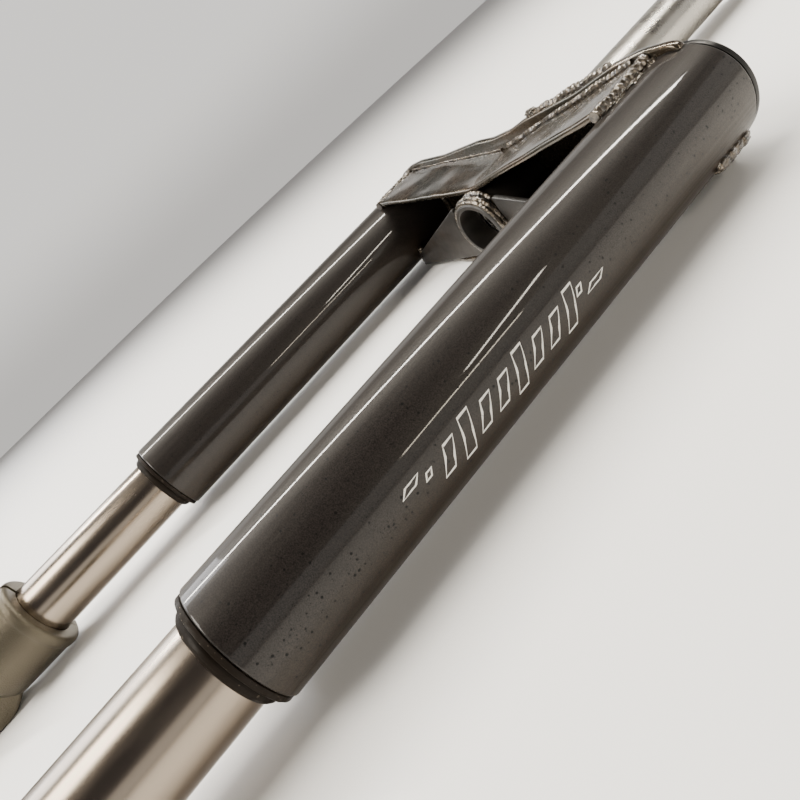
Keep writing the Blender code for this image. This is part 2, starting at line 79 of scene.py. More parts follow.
# Blender's vector noise starts from the clock unless it is given a seed other than 0.
NOISE_SEED = 7
log = logging.getLogger("fork")

Point = tuple[float, float]
Point3 = tuple[float, float, float]


class Side(Enum):
    """A leg, by the rider's hand, with the sign of its X."""

    LEFT = 1
    RIGHT = -1

    @property
    def word(self) -> str:
        """The word that starts the names of this leg's pieces."""
        return self.name.lower()


class Body(Enum):
    """The bodies of the frame that pieces ride on."""

    CROWN = "crown"
    LEFT_SLIDER = "left_slider"
    RIGHT_SLIDER = "right_slider"


SLIDERS = {Side.LEFT: Body.LEFT_SLIDER, Side.RIGHT: Body.RIGHT_SLIDER}

# Turns a hexagon by half the angle between two of its corners.
FLAT_UP = Matrix.Rotation(pi / 6, 4, "Z")


@dataclass(frozen=True)
class Datum:
    """The fork's main lines, read from the frame."""

    rim: float
    leg_x: float
    leg_z: float
    steerer_z: float

    def at(self, x: float, along: float, front: float) -> Vector:
        """The point at x, so far up the legs and so far in front of their plane."""
        return Vector((x, self.rim + along, self.leg_z + front))

    def leg(self, side: Side) -> Matrix:
        """Turns local Z up the legs, with its zero at the rim on that leg's axis."""
        return self.axis(side.value * self.leg_x, self.leg_z)

    def steerer(self) -> Matrix:
        """The same for the steerer's axis."""
        return self.axis(0, self.steerer_z)

    def axis(self, x: float, z: float) -> Matrix:
        """The frame of an axis that runs up the legs at x and z."""
        return Matrix.Translation((x, self.rim, z)) @ Matrix.Rotation(-pi / 2, 4, "X")


def read_datum() -> Datum:
    """Reads the main lines from the left tube's and the steerer's boxes.

    Returns:
        The fork's datum.
    """
    low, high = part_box("left_outer_tube")
    steerer_low, steerer_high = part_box("steerer_tube")
    return Datum(
        rim=low.y,
        leg_x=(low.x + high.x) / 2,
        leg_z=(low.z + high.z) / 2,
        steerer_z=(steerer_low.z + steerer_high.z) / 2,
    )


DATUM = read_datum()


# Finishes


def linear(code: str) -> tuple[float, float, float, float]:
    """Turns an sRGB hex colour into linear values.

    Args:
        code: six hex digits, with or without a leading #.

    Returns:
        Linear red, green, blue and an alpha of 1.
    """
    digits = code.lstrip("#")
    parts = [int(digits[n : n + 2], 16) / 255 for n in (0, 2, 4)]
    red, green, blue = (p / 12.92 if p <= 0.04045 else ((p + 0.055) / 1.055) ** 2.4 for p in parts)
    return red, green, blue, 1.0


def add_node(
    tree: bpy.types.NodeTree, kind: str, inputs: dict | None = None, **settings: object
) -> bpy.types.Node:
    """Adds one node with its settings and links.

    Args:
        tree: the material's node tree.
        kind: the node's type name.
        inputs: socket name or number to a value, or to the output socket that feeds it.
        settings: attributes of the node.

    Returns:
        The new node.
    """
    made = tree.nodes.new(kind)
    for name, value in settings.items():
        setattr(made, name, value)
    for name, value in (inputs or {}).items():
        if isinstance(value, bpy.types.NodeSocket):
            tree.links.new(value, made.inputs[name])
        else:
            made.inputs[name].default_value = value
    return made


def ranged(
    tree: bpy.types.NodeTree,
    value: bpy.types.NodeSocket,
    given: tuple[float, float],
    wanted: tuple[float, float] = (0, 1),
    **settings: object,
) -> bpy.types.NodeSocket:
    """Maps a value from one range to another, clamped at both ends.

    Args:
        tree: the node tree.
        value: the socket that gives the value.
        given: the range that it comes from.
        wanted: the range that it goes to.
        settings: attributes of the node.

    Returns:
        The mapped value.
    """
    inputs = {
        "Value": value,
        "From Min": given[0],
        "From Max": given[1],
        "To Min": wanted[0],
        "To Max": wanted[1],
    }
    return add_node(tree, "ShaderNodeMapRange", inputs, **settings).outputs["Result"]


def mixed(
    tree: bpy.types.NodeTree,
    share: bpy.types.NodeSocket,
    first: bpy.types.NodeSocket | tuple,
    second: bpy.types.NodeSocket | tuple,
) -> bpy.types.NodeSocket:
    """Blends two colours.

    Args:
        tree: the node tree.
        share: how much of the second shows, from 0 to 1.
        first: a colour, or the socket that gives it.
        second: the other colour.

    Returns:
        The blended colour.
    """
    return add_node(
        tree, "ShaderNodeMix", {0: share, 6: first, 7: second}, data_type="RGBA"
    ).outputs[2]


@dataclass(frozen=True)
class Finish:
    """A surface: its colours and gloss. Subclasses add what a closer look shows."""

    name: str
    colour: str
    metallic: float = 1.0
    roughness: float = 0.3
    coat: float = 0.0
    coat_roughness: float = 0.05

    def material(self) -> bpy.types.Material:
        """Makes the material, or returns the one of that name that is there already.

        The frame's own materials count too, so a finish has a name that none of them has.
        """
        found = bpy.data.materials.get(self.name)
        if found:
            return found
        made = bpy.data.materials.new(self.name)
        made.use_nodes = True
        tree = made.node_tree
        shader = tree.nodes["Principled BSDF"]
        shader.inputs["Base Color"].default_value = linear(self.colour)
        shader.inputs["Metallic"].default_value = self.metallic
        shader.inputs["Roughness"].default_value = self.roughness
        shader.inputs["Coat Weight"].default_value = self.coat
        shader.inputs["Coat Roughness"].default_value = self.coat_roughness
        place = add_node(tree, "ShaderNodeTexCoord").outputs["Object"]
        self.detail(tree, shader, place)
        return made

    def detail(
        self, tree: bpy.types.NodeTree, shader: bpy.types.Node, place: bpy.types.NodeSocket
    ) -> None:
        """Adds the finish's own nodes."""


def stretched(
    tree: bpy.types.NodeTree, place: bpy.types.NodeSocket, along: float
) -> bpy.types.NodeSocket:
    """Object coordinates with the legs' direction pressed, so a pattern runs long that way."""
    mapping = add_node(tree, "ShaderNodeMapping", {"Vector": place, "Scale": (1, along, 1)})
    return mapping.outputs["Vector"]


@dataclass(frozen=True)
class LacqueredSteel(Finish):
    """Drawn steel tube under clear lacquer: near black, with faint draw lines, and small dark pits."""

    # tint is the colour of the painted brown reflection of the floor on the tube's lower side
    tint: str = "#261d13"
    varnish: str = "#fbf2e4"
    pit_cell: float = 1.7 * MM
    pit_share: float = 0.4
    grain: float = 0.35 * MM

    def detail(
        self, tree: bpy.types.NodeTree, shader: bpy.types.Node, place: bpy.types.NodeSocket
    ) -> None:
        """A painted brown reflection of the floor on the lower side, draw lines, pits and a fine grain
        under the lacquer.
        """
        shader.inputs["Coat Tint"].default_value = linear(self.varnish)
        shader.inputs["Specular IOR Level"].default_value = 0.15
        painted_reflection_noise = add_node(
            tree,
            "ShaderNodeTexNoise",
            {"Vector": stretched(tree, place, 0.35), "Scale": 28, "Detail": 5, "Roughness": 0.6},
        )
        # painted reflection: below the legs' plane the tube is mixed towards the brown tint, broken up by
        # noise, as the floor's reflection
        height = add_node(tree, "ShaderNodeSeparateXYZ", {"Vector": place}).outputs["Z"]
        under = ranged(tree, height, (DATUM.leg_z + 6 * MM, DATUM.leg_z - 6 * MM), (0, 0.9))
        warm = add_node(
            tree,
            "ShaderNodeMath",
            {0: under, 1: painted_reflection_noise.outputs["Fac"]},
            operation="MULTIPLY",
        )
        body = mixed(tree, warm.outputs["Value"], linear(self.colour), linear(self.tint))
        grain = add_node(
            tree, "ShaderNodeTexNoise", {"Vector": place, "Scale": 1 / self.grain, "Detail": 1}
        )
        speckle = ranged(tree, grain.outputs["Fac"], (0.3, 0.7), (0.45, 1.6))
        grained = add_node(
            tree,
            "ShaderNodeHueSaturation",
            {"Value": speckle, "Color": body},
        )
        pit = self.pits(tree, place)
        pitted = mixed(tree, pit, grained.outputs["Color"], linear("#050403"))
        tree.links.new(pitted, shader.inputs["Base Color"])
        whole = add_node(
            tree,
            "ShaderNodeMath",
            {0: pit, 1: -self.coat, 2: self.coat},
            operation="MULTIPLY_ADD",
        )
        tree.links.new(whole.outputs["Value"], shader.inputs["Coat Weight"])
        lines = add_node(
            tree,
            "ShaderNodeTexNoise",
            {"Vector": stretched(tree, place, 0.03), "Scale": 900, "Detail": 2},
        )
        gloss = ranged(
            tree, lines.outputs["Fac"], (0.3, 0.7), (self.roughness - 0.05, self.roughness + 0.07)
        )
        tree.links.new(gloss, shader.inputs["Roughness"])
        relief = add_node(
            tree,
            "ShaderNodeMath",
            {0: grain.outputs["Fac"], 1: pit},
            operation="SUBTRACT",
        )
        bump = add_node(
            tree,
            "ShaderNodeBump",
            {"Strength": 0.22, "Distance": 0.04 * MM, "Height": relief.outputs["Value"]},
        )
        tree.links.new(bump.outputs["Normal"], shader.inputs["Normal"])
        skin = add_node(
            tree,
            "ShaderNodeBump",
            {"Strength": 0.10, "Distance": 0.02 * MM, "Height": lines.outputs["Fac"]},
        )
        tree.links.new(skin.outputs["Normal"], shader.inputs["Coat Normal"])

    def pits(self, tree: bpy.types.NodeTree, place: bpy.types.NodeSocket) -> bpy.types.NodeSocket:
        """Round pits of two sizes, in some of the cells of a Voronoi pattern.

        Returns:
            A mask, 1 in the pits.
        """
        masks = []
        kinds = ((self.pit_cell, self.pit_share, 0.24), (self.pit_cell / 2, 0.6, 0.24))
        for cell, share, reach in kinds:
            cells = add_node(tree, "ShaderNodeTexVoronoi", {"Vector": place, "Scale": 1 / cell})
            chance = add_node(tree, "ShaderNodeSeparateColor", {"Color": cells.outputs["Color"]})
            size = ranged(tree, chance.outputs["Red"], (share, 1), (0, reach))
            masks.append(
                add_node(
                    tree,
                    "ShaderNodeMath",
                    {0: cells.outputs["Distance"], 1: size},
                    operation="LESS_THAN",
                ).outputs["Value"]
            )
        both = add_node(tree, "ShaderNodeMath", {0: masks[0], 1: masks[1]}, operation="MAXIMUM")
        return both.outputs["Value"]


@dataclass(frozen=True)
class WeldedSheet(Finish):
    """Pressed sheet steel, welded and lacquered bare: grey, with brown heat tint and rolling marks."""

    heat: str = "#4f4233"
    shade: str = "#2b2925"

    def detail(
        self, tree: bpy.types.NodeTree, shader: bpy.types.Node, place: bpy.types.NodeSocket
    ) -> None:
        """Heat tint in patches, dark scale, fine scratches and an uneven lacquer."""
        patches = add_node(
            tree, "ShaderNodeTexNoise", {"Vector": place, "Scale": 45, "Detail": 6, "Roughness": 0.62}
        )
        tint = ranged(tree, patches.outputs["Fac"], (0.42, 0.66))
        warm = mixed(tree, tint, linear(self.colour), linear(self.heat))
        scale = add_node(
            tree, "ShaderNodeTexNoise", {"Vector": place, "Scale": 210, "Detail": 7, "Roughness": 0.7}
        )
        dark = ranged(tree, scale.outputs["Fac"], (0.57, 0.76), (0, 0.6))
        body = mixed(tree, dark, warm, linear(self.shade))
        tree.links.new(body, shader.inputs["Base Color"])
        gloss = ranged(
            tree, scale.outputs["Fac"], (0.3, 0.7), (self.roughness - 0.08, self.roughness + 0.16)
        )
        tree.links.new(gloss, shader.inputs["Roughness"])
        waves = add_node(
            tree, "ShaderNodeTexNoise", {"Vector": place, "Scale": 120, "Detail": 8, "Roughness": 0.65}
        )
        bump = add_node(
            tree,
            "ShaderNodeBump",
            {"Strength": 0.2, "Distance": 0.2 * MM, "Height": waves.outputs["Fac"]},
        )
        tree.links.new(bump.outputs["Normal"], shader.inputs["Normal"])


@dataclass(frozen=True)
class WeldMetal(Finish):
    """Electrode weld under lacquer: brown-grey ripples with soot in the hollows."""

    soot: str = "#1d1814"

    def detail(
        self, tree: bpy.types.NodeTree, shader: bpy.types.Node, place: bpy.types.NodeSocket
    ) -> None:
        """Soot, small craters and a rough skin."""
        crust = add_node(
            tree, "ShaderNodeTexNoise", {"Vector": place, "Scale": 420, "Detail": 6, "Roughness": 0.7}
        )
        mask = ranged(tree, crust.outputs["Fac"], (0.45, 0.62))
        body = mixed(tree, mask, linear(self.colour), linear(self.soot))
        tree.links.new(body, shader.inputs["Base Color"])
        bump = add_node(
            tree,
            "ShaderNodeBump",
            {"Strength": 0.8, "Distance": 0.3 * MM, "Height": crust.outputs["Fac"]},
        )
        tree.links.new(bump.outputs["Normal"], shader.inputs["Normal"])


@dataclass(frozen=True)
class HardChrome(Finish):
    """Ground, hard-chromed and polished steel: a clean mirror with faint rings from the grinding."""

    ring: float = 0.8 * MM

    def detail(
        self, tree: bpy.types.NodeTree, shader: bpy.types.Node, place: bpy.types.NodeSocket
    ) -> None:
        """Grinding rings, wiping streaks and a thin film of oil."""
        rings = add_node(
            tree,
            "ShaderNodeTexNoise",
            {"Vector": stretched(tree, place, 40), "Scale": 0.02 / self.ring, "Detail": 3},
        )
        smear = add_node(
            tree,
            "ShaderNodeTexNoise",
            {"Vector": stretched(tree, place, 0.12), "Scale": 160, "Detail": 5, "Roughness": 0.6},
        )
        gloss = ranged(
            tree, smear.outputs["Fac"], (0.35, 0.7), (self.roughness * 0.85, self.roughness * 1.3)
        )
        tree.links.new(gloss, shader.inputs["Roughness"])
        bump = add_node(
            tree,
            "ShaderNodeBump",
            {"Strength": 0.12, "Distance": 0.02 * MM, "Height": rings.outputs["Fac"]},
        )
        tree.links.new(bump.outputs["Normal"], shader.inputs["Normal"])


@dataclass(frozen=True)
class SandCastAluminium(Finish):
    """Sand-cast aluminium, left as cast: a dull taupe grey with the sand's grain."""

    grit: float = 0.55 * MM
    stain: str = "#544d41"

    def detail(
        self, tree: bpy.types.NodeTree, shader: bpy.types.Node, place: bpy.types.NodeSocket
    ) -> None:
        """Sand grain, soft unevenness and darker stains."""
        grain = add_node(
            tree, "ShaderNodeTexNoise", {"Vector": place, "Scale": 1 / self.grit, "Detail": 4}
        )
        uneven = add_node(
            tree, "ShaderNodeTexNoise", {"Vector": place, "Scale": 75, "Detail": 6, "Roughness": 0.6}
        )
        mask = ranged(tree, uneven.outputs["Fac"], (0.42, 0.68), (0, 0.8))
        body = mixed(tree, mask, linear(self.colour), linear(self.stain))
        tree.links.new(body, shader.inputs["Base Color"])
        height = add_node(
            tree,
            "ShaderNodeMath",
            {0: uneven.outputs["Fac"], 1: 1.5, 2: grain.outputs["Fac"]},
            operation="MULTIPLY_ADD",
        )
        bump = add_node(
            tree,
            "ShaderNodeBump",
            {"Strength": 0.65, "Distance": 0.35 * MM, "Height": height.outputs["Value"]},
        )
        tree.links.new(bump.outputs["Normal"], shader.inputs["Normal"])


@dataclass(frozen=True)
class GreasedRubber(Finish):
    """Moulded rubber with old grease on it: near black, wet and dull in parts, with pale specks."""

    speck: str = "#b9ae9c"
    speck_cell: float = 1.3 * MM

    def detail(
        self, tree: bpy.types.NodeTree, shader: bpy.types.Node, place: bpy.types.NodeSocket
    ) -> None:
        """Wet and dull patches, and specks of grease."""
        shader.inputs["Specular IOR Level"].default_value = 0.07
        wet = add_node(
            tree, "ShaderNodeTexNoise", {"Vector": place, "Scale": 190, "Detail": 5, "Roughness": 0.65}
        )
        gloss = ranged(tree, wet.outputs["Fac"], (0.4, 0.6), (0.34, 0.7))
        tree.links.new(gloss, shader.inputs["Roughness"])
        cells = add_node(
            tree, "ShaderNodeTexVoronoi", {"Vector": place, "Scale": 1 / self.speck_cell}
        )
        chance = add_node(
            tree, "ShaderNodeSeparateColor", {"Color": cells.outputs["Color"]}
        ).outputs["Green"]
        size = ranged(tree, chance, (0.5, 1), (0, 0.34))
        hit = add_node(
            tree,
            "ShaderNodeMath",
            {0: cells.outputs["Distance"], 1: size},
            operation="LESS_THAN",
        )
        where = ranged(tree, wet.outputs["Fac"], (0.44, 0.52))
        mask = add_node(
            tree,
            "ShaderNodeMath",
            {0: hit.outputs["Value"], 1: where},
            operation="MULTIPLY",
        )
        body = mixed(tree, mask.outputs["Value"], linear(self.colour), linear(self.speck))
        tree.links.new(body, shader.inputs["Base Color"])
        bump = add_node(
            tree,
            "ShaderNodeBump",
            {"Strength": 0.5, "Distance": 0.15 * MM, "Height": wet.outputs["Fac"]},
        )
        tree.links.new(bump.outputs["Normal"], shader.inputs["Normal"])


@dataclass(frozen=True)
class TurnedMetal(Finish):
    """A turned or plated machine part: a satin sheen with fine rings from the tool."""

    feed: float = 0.6 * MM
    strength: float = 0.2

    def detail(
        self, tree: bpy.types.NodeTree, shader: bpy.types.Node, place: bpy.types.NodeSocket
    ) -> None:
        """Tool rings along the legs' direction, and handling marks in the sheen."""
        rings = add_node(
            tree,
            "ShaderNodeTexWave",
            {"Vector": place, "Scale": 0.31416 / self.feed, "Distortion": 0.4},
            bands_direction="Y",
        )
        marks = add_node(
            tree, "ShaderNodeTexNoise", {"Vector": place, "Scale": 130, "Detail": 6, "Roughness": 0.62}
        )
        gloss = ranged(
            tree, marks.outputs["Fac"], (0.35, 0.7), (self.roughness * 0.88, self.roughness * 1.2)
        )
        tree.links.new(gloss, shader.inputs["Roughness"])
        bump = add_node(
            tree,
            "ShaderNodeBump",
            {"Strength": self.strength, "Distance": 0.05 * MM, "Height": rings.outputs["Fac"]},
        )
        tree.links.new(bump.outputs["Normal"], shader.inputs["Normal"])


@dataclass(frozen=True)
class PrintedInk(Finish):
    """Screen-printed ink: flat, pale and a little worn; the dark lacquer shows through in specks."""

    def detail(
        self, tree: bpy.types.NodeTree, shader: bpy.types.Node, place: bpy.types.NodeSocket
    ) -> None:
        """Wear in small specks."""
        wear = add_node(
            tree, "ShaderNodeTexNoise", {"Vector": place, "Scale": 1400, "Detail": 3, "Roughness": 0.7}
        )
        mask = ranged(tree, wear.outputs["Fac"], (0.6, 0.68), (0, 0.7))
        body = mixed(tree, mask, linear(self.colour), linear("#4c4842"))
        tree.links.new(body, shader.inputs["Base Color"])


TUBE = LacqueredSteel("lacquered_drawn_steel", "#1d1a19", 0.0, 0.42, 0.42, 0.05)
SHEET = WeldedSheet("lacquered_sheet_steel", "#3f3c33", 0.8, 0.22, 0.5, 0.06)
# Painted shade: a near-black sheet that stands in for the shade inside the crown and in the sleeve's bore,
# over patches of real heat tint and scale.
SHADE_PAINTED_SHEET = WeldedSheet(
    "shade_painted_sheet_steel", "#171411", 0.0, 0.5, 0.1, 0.2, heat="#211a13", shade="#0f0d0b"
)
WELD = WeldMetal("weld_bead_steel", "#5c5347", 0.8, 0.28, 0.8, 0.06)
CHROME = HardChrome("polished_hard_chrome", "#968a7c", 1.0, 0.22)
CAST = SandCastAluminium("sand_cast_aluminium", "#544e41", 0.75, 0.4)
RUBBER = GreasedRubber("greased_nitrile_rubber", "#1a1510", 0.0, 0.4, speck="#4f483f")
STEEL = TurnedMetal("turned_bright_steel", "#a8a49c", 1.0, 0.28)
ZINC = TurnedMetal("bright_zinc_plate", "#c4c3bb", 1.0, 0.26, feed=0.9 * MM, strength=0.1)
BLACK_ZINC = TurnedMetal("black_zinc_plate", "#2b2a29", 0.9, 0.3, feed=0.9 * MM, strength=0.1)
SPRING = TurnedMetal("oil_tempered_spring_wire", "#4c4b4d", 1.0, 0.34, feed=1.2 * MM, strength=0.08)
NYLON = TurnedMetal("turned_natural_nylon", "#d6d1bf", 0.0, 0.42, feed=0.7 * MM, strength=0.3)
INK = PrintedInk("screen_printed_ink", "#dcd9d2", 0.0, 0.45, 0.3)
GREASY_RING = GreasedRubber(
    "greasy_lacquered_ring", "#1c1712", 0.0, 0.3, 0.0, 0.2, speck="#5e564c", speck_cell=0.55 * MM
)
FLOOR = Finish("pale_floor_board", "#f2f1ef", 0.0, 0.7)


# Meshes


def finished(
    name: str,
    bm: bmesh.types.BMesh,
    finish: Finish,
    body: Body,
    replaced: Iterable[str] = (),
    smooth: float = 32,
) -> bpy.types.Object:
    """Turns a bmesh, already in its place, into a piece of the fork.

    Args:
        name: the piece's name.
        bm: the mesh, which is freed.
        finish: its surface.
        body: the body it rides on.
        replaced: the frame's nodes that it stands for.
        smooth: the angle in degrees above which an edge stays sharp.

    Returns:
        The new object.
    """
    mesh = bpy.data.meshes.new(name)
    bm.to_mesh(mesh)
    bm.free()
    mesh.shade_smooth()
    mesh.set_sharp_from_angle(angle=radians(smooth))
    mesh.materials.clear()
    mesh.materials.append(finish.material())
    piece = bpy.data.objects.new(name, mesh)
    bpy.context.scene.collection.objects.link(piece)
    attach(piece, body.value)
    if replaced:
        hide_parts(*replaced)
    log.info("%s: %d faces, %s", name, len(mesh.polygons), finish.name)
    return piece


def settled(bm: bmesh.types.BMesh, within: float = 1e-6) -> bmesh.types.BMesh:
    """Merges a mesh's doubles and turns its faces outwards."""
    bmesh.ops.remove_doubles(bm, verts=bm.verts, dist=within)
    bmesh.ops.recalc_face_normals(bm, faces=bm.faces)
    return bm


def softened(outline: list[Point], radius: float, closed: bool = True, steps: int = 3) -> list[Point]:
    """Rounds an outline's corners.

    Args:
        outline: the corners in order.
        radius: how far from a corner the rounding starts, at most two fifths of either side.
        closed: whether the last corner joins the first. If not, the two ends stay as they are.
        steps: stretches in each rounding.

    Returns:
        The rounded outline.
    """
    corners = [Vector(corner) for corner in outline]
    points: list[Point] = []
    for n, corner in enumerate(corners):
        if not closed and n in (0, len(corners) - 1):
            points.append(tuple(corner))
            continue
        back = corners[n - 1] - corner
        ahead = corners[(n + 1) % len(corners)] - corner
        start = corner + back.normalized() * min(radius, 0.4 * back.length)
        end = corner + ahead.normalized() * min(radius, 0.4 * ahead.length)
        for step in range(steps + 1):
            t = step / steps
            points.append(tuple(start * (1 - t) ** 2 + corner * 2 * t * (1 - t) + end * t**2))
    return points


def turned(
    profile: list[Point], axis: Matrix, edge: float = 0.3 * MM, steps: int = 128
) -> bmesh.types.BMesh:
    """Spins a profile round an axis.

    Args:
        profile: (radius, height) corners. The profile is closed unless its two ends lie on the axis.
        axis: the axis's place.
        edge: the rounding of its corners.
        steps: stretches in the full turn.

    Returns:
        The turned mesh in its place.
    """
    closed = profile[0][0] > 0
    rim = softened(profile, edge, closed) if edge else profile
    bm = bmesh.new()
    verts = [bm.verts.new((radius, 0, height)) for radius, height in rim]
    edges = [bm.edges.new(pair) for pair in zip(verts, verts[1:])]
    if closed:
        edges.append(bm.edges.new((verts[-1], verts[0])))
    bmesh.ops.spin(
        bm,
        geom=verts + edges,
        cent=(0, 0, 0),
        axis=(0, 0, 1),
        angle=2 * pi,
        steps=steps,
        use_merge=True,
        use_duplicate=False,
    )
    settled(bm, 2e-6)
    bmesh.ops.transform(bm, matrix=axis, verts=bm.verts)
    return bm


def tube(radius: float, bore: float, bottom: float, top: float) -> list[Point]:
    """The profile of a plain tube."""
    return [(radius, top), (radius, bottom), (bore, bottom), (bore, top)]


def thread(radius: float, depth: float, pitch: float, low: float, high: float) -> list[Point]:
    """A thread's crests and roots, from high down to low."""
    turns = round((high - low) / pitch)
    points = []
    for n in range(turns):
        top = high - n * pitch
        points += [(radius, top - 0.15 * pitch), (radius - depth, top - 0.5 * pitch)]
        points += [(radius - depth, top - 0.6 * pitch), (radius, top - 0.95 * pitch)]
    return points


def slab(outline: list[Point], low: float, high: float, place: Callable) -> bmesh.types.BMesh:
    """Extrudes a flat outline.

    Args:
        outline: its corners.
        low: where it starts, along the third direction.
        high: where it ends.
        place: turns the outline's two numbers and the third into a point.

    Returns:
        The closed mesh.
    """
    bm = bmesh.new()
    face = bm.faces.new([bm.verts.new(place(a, b, low)) for a, b in outline])
    made = bmesh.ops.extrude_face_region(bm, geom=[face])
    moved = [item for item in made["geom"] if isinstance(item, bmesh.types.BMVert)]
    shift = Vector(place(0, 0, high)) - Vector(place(0, 0, low))
    bmesh.ops.translate(bm, vec=shift, verts=moved)
    bmesh.ops.recalc_face_normals(bm, faces=bm.faces)
    return bm


def hexagon(across: float, low: float, high: float, axis: Matrix, edge: float) -> bmesh.types.BMesh:
    """A hexagon head with its edges rounded, on the local Z of axis."""
    bm = bmesh.new()
    radius = across / 2 / cos(pi / 6)
    bmesh.ops.create_cone(
        bm, cap_ends=True, segments=6, radius1=radius, radius2=radius, depth=high - low
    )
    bmesh.ops.translate(bm, vec=(0, 0, (low + high) / 2), verts=bm.verts)
    bmesh.ops.bevel(
        bm,
        geom=bm.edges[:],
        offset=edge,
        segments=3,
        profile=0.5,
        affect="EDGES",
        material=-1,
    )
    bmesh.ops.transform(bm, matrix=axis, verts=bm.verts)
    return bm


def joined(first: bmesh.types.BMesh, *others: bmesh.types.BMesh) -> bmesh.types.BMesh:
    """Adds the other meshes to the first, and frees them."""
    for other in others:
        carrier = bpy.data.meshes.new("carrier")
        other.to_mesh(carrier)
        other.free()
        first.from_mesh(carrier)
        bpy.data.meshes.remove(carrier)
    return first


def swept(
    name: str, points: list[Vector], radii: list[float], sides: int = 4, closed: bool = False
) -> bmesh.types.BMesh:
    """A round bead or wire along a path.

    Args:
        name: a name for the curve while it exists.
        points: the path.
        radii: the radius at each point.
        sides: bevel resolution, a quarter of the sides less one.
        closed: whether the path is a ring.

    Returns:
        The closed mesh.
    """
    curve = bpy.data.curves.new(name, "CURVE")
    curve.dimensions = "3D"
    curve.bevel_depth = 1
    curve.bevel_resolution = sides
    curve.use_fill_caps = not closed
    spline = curve.splines.new("POLY")
    spline.points.add(len(points) - 1)
    spline.use_cyclic_u = closed
    for knot, point, radius in zip(spline.points, points, radii):
        knot.co = (*point, 1)
        knot.radius = radius
    drawn = bpy.data.objects.new(name, curve)
    bpy.context.scene.collection.objects.link(drawn)
    depsgraph = bpy.context.evaluated_depsgraph_get()
    mesh = bpy.data.meshes.new_from_object(drawn.evaluated_get(depsgraph))
    bpy.data.objects.remove(drawn)
    bpy.data.curves.remove(curve)
    bm = bmesh.new()
    bm.from_mesh(mesh)
    bpy.data.meshes.remove(mesh)
    return settled(bm)


@dataclass(frozen=True)
class Bead:
    """A weld bead: a round seam, rippled as the electrode went."""

    radius: float = 1.5 * MM
    ripple: float = 1.7 * MM
    swell: float = 0.16
    wander: float = 0.35 * MM
    seed: int = 1

    def along(self, name: str, path: list[Vector], closed: bool = False) -> bmesh.types.BMesh:
        """Lays the bead on a path.

        Args:
            name: a name for the curve while it exists.
            path: corners of the path.
            closed: whether it is a ring.

        Returns:
            The bead's mesh.
        """
        draw = Random(self.seed)
        ends = path + path[:1] if closed else path
        points: list[Vector] = []
        for start, end in zip(ends, ends[1:]):
            count = max(1, ceil((end - start).length / (self.ripple / 5)))
            points += [start.lerp(end, n / count) for n in range(count)]
        if not closed:
            points.append(path[-1])
        radii, travelled, phase = [], 0.0, draw.random()
        for n, point in enumerate(points):
            if n:
                travelled += (point - points[n - 1]).length
            wave = abs(sin(pi * (travelled / self.ripple + phase)))
            slow = noise.noise(point * 170 + Vector((self.seed, 0, 0)))
            radii.append(self.radius * (1 + self.swell * wave + 0.22 * slow))
        shifted = [p + noise.noise_vector(p * 140) * self.wander for p in points]
        bm = swept(name, shifted, radii, 3, closed)
        for vert in bm.verts:
            vert.co += noise.noise_vector(vert.co * 900) * 0.12 * self.radius
        return bm


def blob(place: Vector, size: Vector, roughness: float, seed: int) -> bmesh.types.BMesh:
    """A lump of weld metal.

    Args:
        place: its middle.
        size: its half lengths along X, Y and Z.
        roughness: how far its skin wanders, as a share of its radius.
        seed: which lump of the many possible.

    Returns:
        The lump's mesh.
    """
    bm = bmesh.new()
    bmesh.ops.create_icosphere(bm, subdivisions=4, radius=1)
    for vert in bm.verts:
        rough = noise.fractal(vert.co * 2.3 + Vector((seed * 7.1, 0, 0)), 0.6, 2.1, 5)
        vert.co *= 1 + roughness * rough
    bmesh.ops.scale(bm, vec=size, verts=bm.verts)
    bmesh.ops.translate(bm, vec=place, verts=bm.verts)
    return bm


def arc_path(
    place: Matrix, radius: float, along: float, start: float, end: float, step: float = 6
) -> list[Vector]:
    """Points round an axis, from one angle to another in degrees. 0 is +X and 90 is the front."""
    count = max(2, ceil(abs(end - start) / step))
    points = []
    for n in range(count + 1):
        angle = radians(start + (end - start) * n / count)
        points.append(place @ Vector((radius * cos(angle), -radius * sin(angle), along)))
    return points


def loosened(
    bm: bmesh.types.BMesh, amount: float, scale: float, direction: Vector, seed: int = 0
) -> bmesh.types.BMesh:
    """Moves a mesh's vertices a little along one direction, as hand work leaves a sheet."""
    for vert in bm.verts:
        vert.co += direction * amount * noise.noise(vert.co * scale + Vector((seed, seed, 0)))
    return bm


def sliced(bm: bmesh.types.BMesh, axis: int, low: float, high: float, count: int) -> bmesh.types.BMesh:
    """Cuts a mesh across an axis, so that it can bend."""
    normal = Vector([1.0 if n == axis else 0.0 for n in range(3)])
    for n in range(1, count):
        place = normal * (low + (high - low) * n / count)
        bmesh.ops.bisect_plane(
            bm, geom=bm.verts[:] + bm.edges[:] + bm.faces[:], plane_co=place, plane_no=normal
        )
    return bm


def rounded_edges(
    bm: bmesh.types.BMesh, width: float, segments: int = 3, angle: float = 40, across: int | None = None
) -> bmesh.types.BMesh:
    """Rounds a mesh's sharp edges.

    Args:
        bm: the mesh.
        width: the rounding.
        segments: its steps.
        angle: edges that turn less than this, in degrees, are left.
        across: if given, only edges square to this axis are rounded.

    Returns:
        The same mesh.
    """
    sharp = [e for e in bm.edges if len(e.link_faces) == 2 and e.calc_face_angle() > radians(angle)]
    if across is not None:
        sharp = [e for e in sharp if abs(e.verts[0].co[across] - e.verts[1].co[across]) < 1e-6]
    bmesh.ops.bevel(
        bm,
        geom=sharp,
        offset=width,
        offset_type="OFFSET",
        segments=segments,
        profile=0.5,
        affect="EDGES",
        material=-1,
        clamp_overlap=across is None,
    )
    return bm


